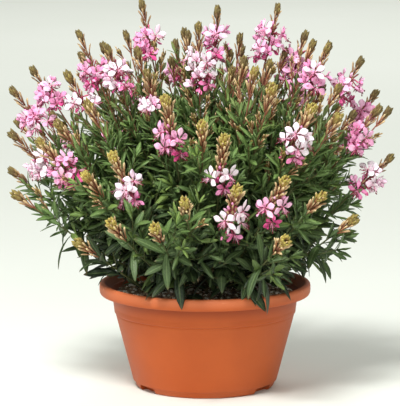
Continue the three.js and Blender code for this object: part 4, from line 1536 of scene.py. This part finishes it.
def dress_bloom(number, index, stem, shoot):
    """The piece for a bloom: its flowers, and the calyxes, closed and spent flowers round the shoot."""
    bloom = Bloom(shoot, 1000 + 10 * number + index)
    vary = bloom.vary
    downs = [flower.down for flower in shoot.flowers]
    highest, lowest = min(downs), max(downs)
    for k, flower in enumerate(shoot.flowers):
        fading = FADING if flower.down == lowest and len(shoot.flowers) > 2 else 0
        bloom.open_flower(flower, 8 * (chance(number, index, k) - 0.5), fading)
    for down, turn in MORE_FLOWERS.get((stem.name, index), ()):
        bloom.open_flower(Flower(shoot, down, turn), 0, MORE_FADING if down > FADED_DOWN else 0)
    near = nearness(shoot.tip) ** 3
    count = round(blend(len(shoot.flowers) + HALF_OPEN[0], HALF_OPEN[1], near))
    for k in range(count):
        turn = shoot.wanted[k % len(shoot.flowers)][1] + bloom.rng.choice((-1, 1)) * vary(30, 80)
        bloom.half_open(blend(highest - 5, lowest + 3, (k + vary(0.2, 0.8)) / count), turn)
    bloom.sleeve(highest, lowest)
    for k in range(round(blend(*SPENT, near))):
        bloom.spent(lowest + vary(-13, 7), 135 * k + vary(-30, 30))
    mark = f"{stem.name}_{index + 1}"
    joined(f"flowers_{mark}", bloom.meshes(), f"bloom_{mark}")


# The pot.
def rounded(corners, steps=5):
    """A line through corners (distance from the axis, height, radius of the corner), with arcs at them."""
    line = []
    for i, (r, z, size) in enumerate(corners):
        here = np.array([r, z], float)
        if not size:
            line.append(here)
            continue
        before = np.array(corners[i - 1][:2], float)
        after = np.array(corners[(i + 1) % len(corners)][:2], float)
        a, b = here + unit(before - here) * size, here + unit(after - here) * size
        for t in np.linspace(0, 1, steps):
            line.append((1 - t) ** 2 * a + 2 * t * (1 - t) * here + t**2 * b)
    return line


def revolved(name, line, sides):
    """A closed solid from a closed line that starts and ends on the axis."""
    edit = bmesh.new()
    rings = []
    turns = [2 * math.pi * k / sides for k in range(sides)]
    for r, z in line:
        if r < 0.01:
            ring = [(0, 0, z * MM)]
        else:
            ring = [(r * MM * math.cos(t), r * MM * math.sin(t), z * MM) for t in turns]
        rings.append([edit.verts.new(place) for place in ring])
    for near, far in zip(rings, rings[1:]):
        for k in range(sides):
            j = (k + 1) % sides
            corners = [near[k % len(near)], near[j % len(near)], far[j % len(far)], far[k % len(far)]]
            edit.faces.new(dict.fromkeys(corners))
    bmesh.ops.recalc_face_normals(edit, faces=edit.faces)
    return ended(edit, bpy.data.meshes.new(name))


def notch_cutter():
    """Round-topped blocks that cut the drainage notches into the pot's foot."""
    edit = bmesh.new()
    for turn in NOTCH_TURNS:
        reach = NOTCH_DEPTH + 10
        place = Matrix.Rotation(math.radians(turn), 4, "Z")
        place @= Matrix.Translation(((BASE_R - NOTCH_DEPTH + reach / 2) * MM, 0, 0))
        place @= Matrix.Diagonal((reach * MM, NOTCH_WIDTH * MM, 2 * NOTCH_HEIGHT * MM, 1))
        bmesh.ops.create_cube(edit, size=1, matrix=place)
    upper = [e for e in edit.edges if all(v.co.z > 0 for v in e.verts)]
    bmesh.ops.bevel(edit, geom=upper, offset=NOTCH_ROUND * MM, segments=3, affect="EDGES")
    mesh = bpy.data.meshes.new("notches")
    edit.to_mesh(mesh)
    edit.free()
    return bpy.data.objects.new("notches", mesh)


def make_pot():
    """The moulded pot: a taper with a foot line, a step line and a faint second one, a rim and notches."""
    band = RIM_TOP - RIM_DROP
    step = STEP_Z + STEP_LIFT
    second = step + SECOND_LINE
    corners = [
        (0, 0, 0),
        (BASE_R, 0, 2.2),
        (FOOT_R - 1.6, FOOT_Z - 1, 0.5),
        (FOOT_R, FOOT_Z, 0.5),
        (STEP_R - 0.3, step - 2.2, 1.0),
        (STEP_R - 0.6, step, 0.5),
        (STEP_R + STEP_DEPTH, step + 1, 0.7),
        (STEP_R + 1.9, second, 0),
        (STEP_R + 1.75, second + 1, 0),
        (STEP_R + 2.2, second + 2.2, 0),
        (NECK_R, band + 4.5, 1.5),
        (RIM_R - 3.2, band + 4.5, 1.5),
        (RIM_R - 3.2, band, 0.3),
        (RIM_R - 1.2, band, 0.9),
        (RIM_R, band + 3, 2.0),
        (RIM_R, RIM_TOP - 0.2, 4.2),
        (RIM_R - 6.5, RIM_TOP, 2.0),
        (RIM_R - 9, RIM_TOP - 3.5, 1.5),
        (NECK_R - WALL, band - 1, 4.0),
        (FOOT_R - WALL, FLOOR, 3.0),
        (0, FLOOR, 0),
    ]
    body = bpy.data.objects.new("pot_body", revolved("pot_body", rounded(corners), POT_SIDES))
    cutter = notch_cutter()
    cut = body.modifiers.new("cut", "BOOLEAN")
    cut.operation = "DIFFERENCE"
    cut.solver = "EXACT"
    cut.object = cutter
    bpy.context.scene.collection.objects.link(cutter)
    mesh = evaluated(body)
    bpy.data.objects.remove(cutter)
    mesh.materials.clear()
    mesh.materials.append(FINISHES["pot"])
    mesh.shade_smooth()
    mesh.set_sharp_from_angle(angle=math.radians(POT_CREASE))
    joined("moulded_pot", [mesh], "pot")


def make_soil():
    """A rough low mound of soil, strewn with perlite, bark and small stones."""
    # The soil widens with the pot's wall, and its loose top is a mound by distance from the axis.
    rim = FOOT_R - WALL - GAP + WALL_SLOPE * (SOIL_EDGE_Z - FLOOR - 3) - 0.4
    edge, crown = SOIL_EDGE_Z + SOIL_LIFT, SOIL_CROWN_Z + 0.4 * SOIL_LIFT
    line = [(0, FLOOR + GAP), (FOOT_R - WALL - 4, FLOOR + GAP), (rim, SOIL_EDGE_Z)]
    mound = [(104, edge), (94, edge + 0.6), (74, edge + 1.2), (45, crown - 0.5), (0, crown)]
    for r in np.linspace(rim - 1, 0, SOIL_RINGS):
        line.append((max(r, 0), np.interp(-r, [-m[0] for m in mound], [m[1] for m in mound])))
    mesh = revolved("soil_body", line, SOIL_SIDES)
    for vertex in mesh.vertices:
        r = math.hypot(vertex.co.x, vertex.co.y) / MM
        if vertex.co.z < (SOIL_EDGE_Z + 0.2) * MM:
            continue
        x, y = vertex.co.x / MM, vertex.co.y / MM
        rise = 1.6 * math.sin(0.21 * x) * math.cos(0.17 * y)
        rise += 1.7 * noise.fractal(Vector((x, y, 3)) / 9, 1.0, 2.0, 3)
        vertex.co.z += rise * MM * min(1, (rim - r) / 6 + 0.35)
    mesh.materials.append(FINISHES["soil"])
    meshes = [mesh]
    for seed, (kind, (density, small, large)) in enumerate(STREWN.items(), 1):
        sizes = {"Density": float(density), "Smallest": small * MM, "Largest": large * MM}
        finish = FINISHES[kind]
        meshes.append(grown(GRIT, mesh.copy(), Shapes=SHAPES[kind], **sizes, Seed=seed, Finish=finish))
    joined("potting_soil", meshes, "soil")


# The studio.
def aim(thing, place, target):
    """Puts a lamp or the camera at a place, so that it faces a target."""
    thing.location = place
    thing.rotation_euler = (Vector(target) - Vector(place)).to_track_quat("-Z", "Y").to_euler()
    bpy.context.scene.collection.objects.link(thing)


def make_camera():
    """Seen from -Y and a little above, from far enough that the plant is hardly foreshortened."""
    data = bpy.data.cameras.new("camera")
    data.lens = LENS
    target = Vector(CAMERA_TARGET) * MM
    rise = math.radians(CAMERA_RISE)
    place = target + Vector((0, -math.cos(rise), math.sin(rise))) * CAMERA_DISTANCE
    camera = bpy.data.objects.new("camera", data)
    aim(camera, place, target)
    bpy.context.scene.camera = camera


def make_lights():
    """The lamps and an even pale sky."""
    for name, (place, target, size, power) in LAMPS.items():
        data = bpy.data.lights.new(name, "AREA")
        data.size = size
        data.energy = power
        aim(bpy.data.objects.new(name, data), place, target)
    world = bpy.data.worlds.new("studio")
    world.use_nodes = True
    sky = world.node_tree.nodes["Background"]
    sky.inputs["Color"].default_value = paint(238, 240, 236)
    sky.inputs["Strength"].default_value = SKY_STRENGTH
    bpy.context.scene.world = world
    bpy.context.scene.view_settings.view_transform = "Standard"


def make_floor():
    """A flat floor, which isn't part of the object."""
    mesh = bpy.data.meshes.new("floor")
    corners = [(x * FLOOR_HALF, y * FLOOR_HALF, 0) for x, y in ((-1, -1), (1, -1), (1, 1), (-1, 1))]
    mesh.from_pydata(corners, [], [(0, 1, 2, 3)])
    mesh.materials.append(floor_finish())
    floor = bpy.data.objects.new("floor", mesh)
    bpy.context.scene.collection.objects.link(floor)


make_camera()
make_lights()
make_floor()
make_pot()
make_soil()
for stem_number, stem in enumerate(STEMS):
    dress_stem(stem_number, stem)
    for shoot_number, shoot in enumerate(stem.shoots):
        if shoot.flowers:
            dress_bloom(stem_number, shoot_number, stem, shoot)
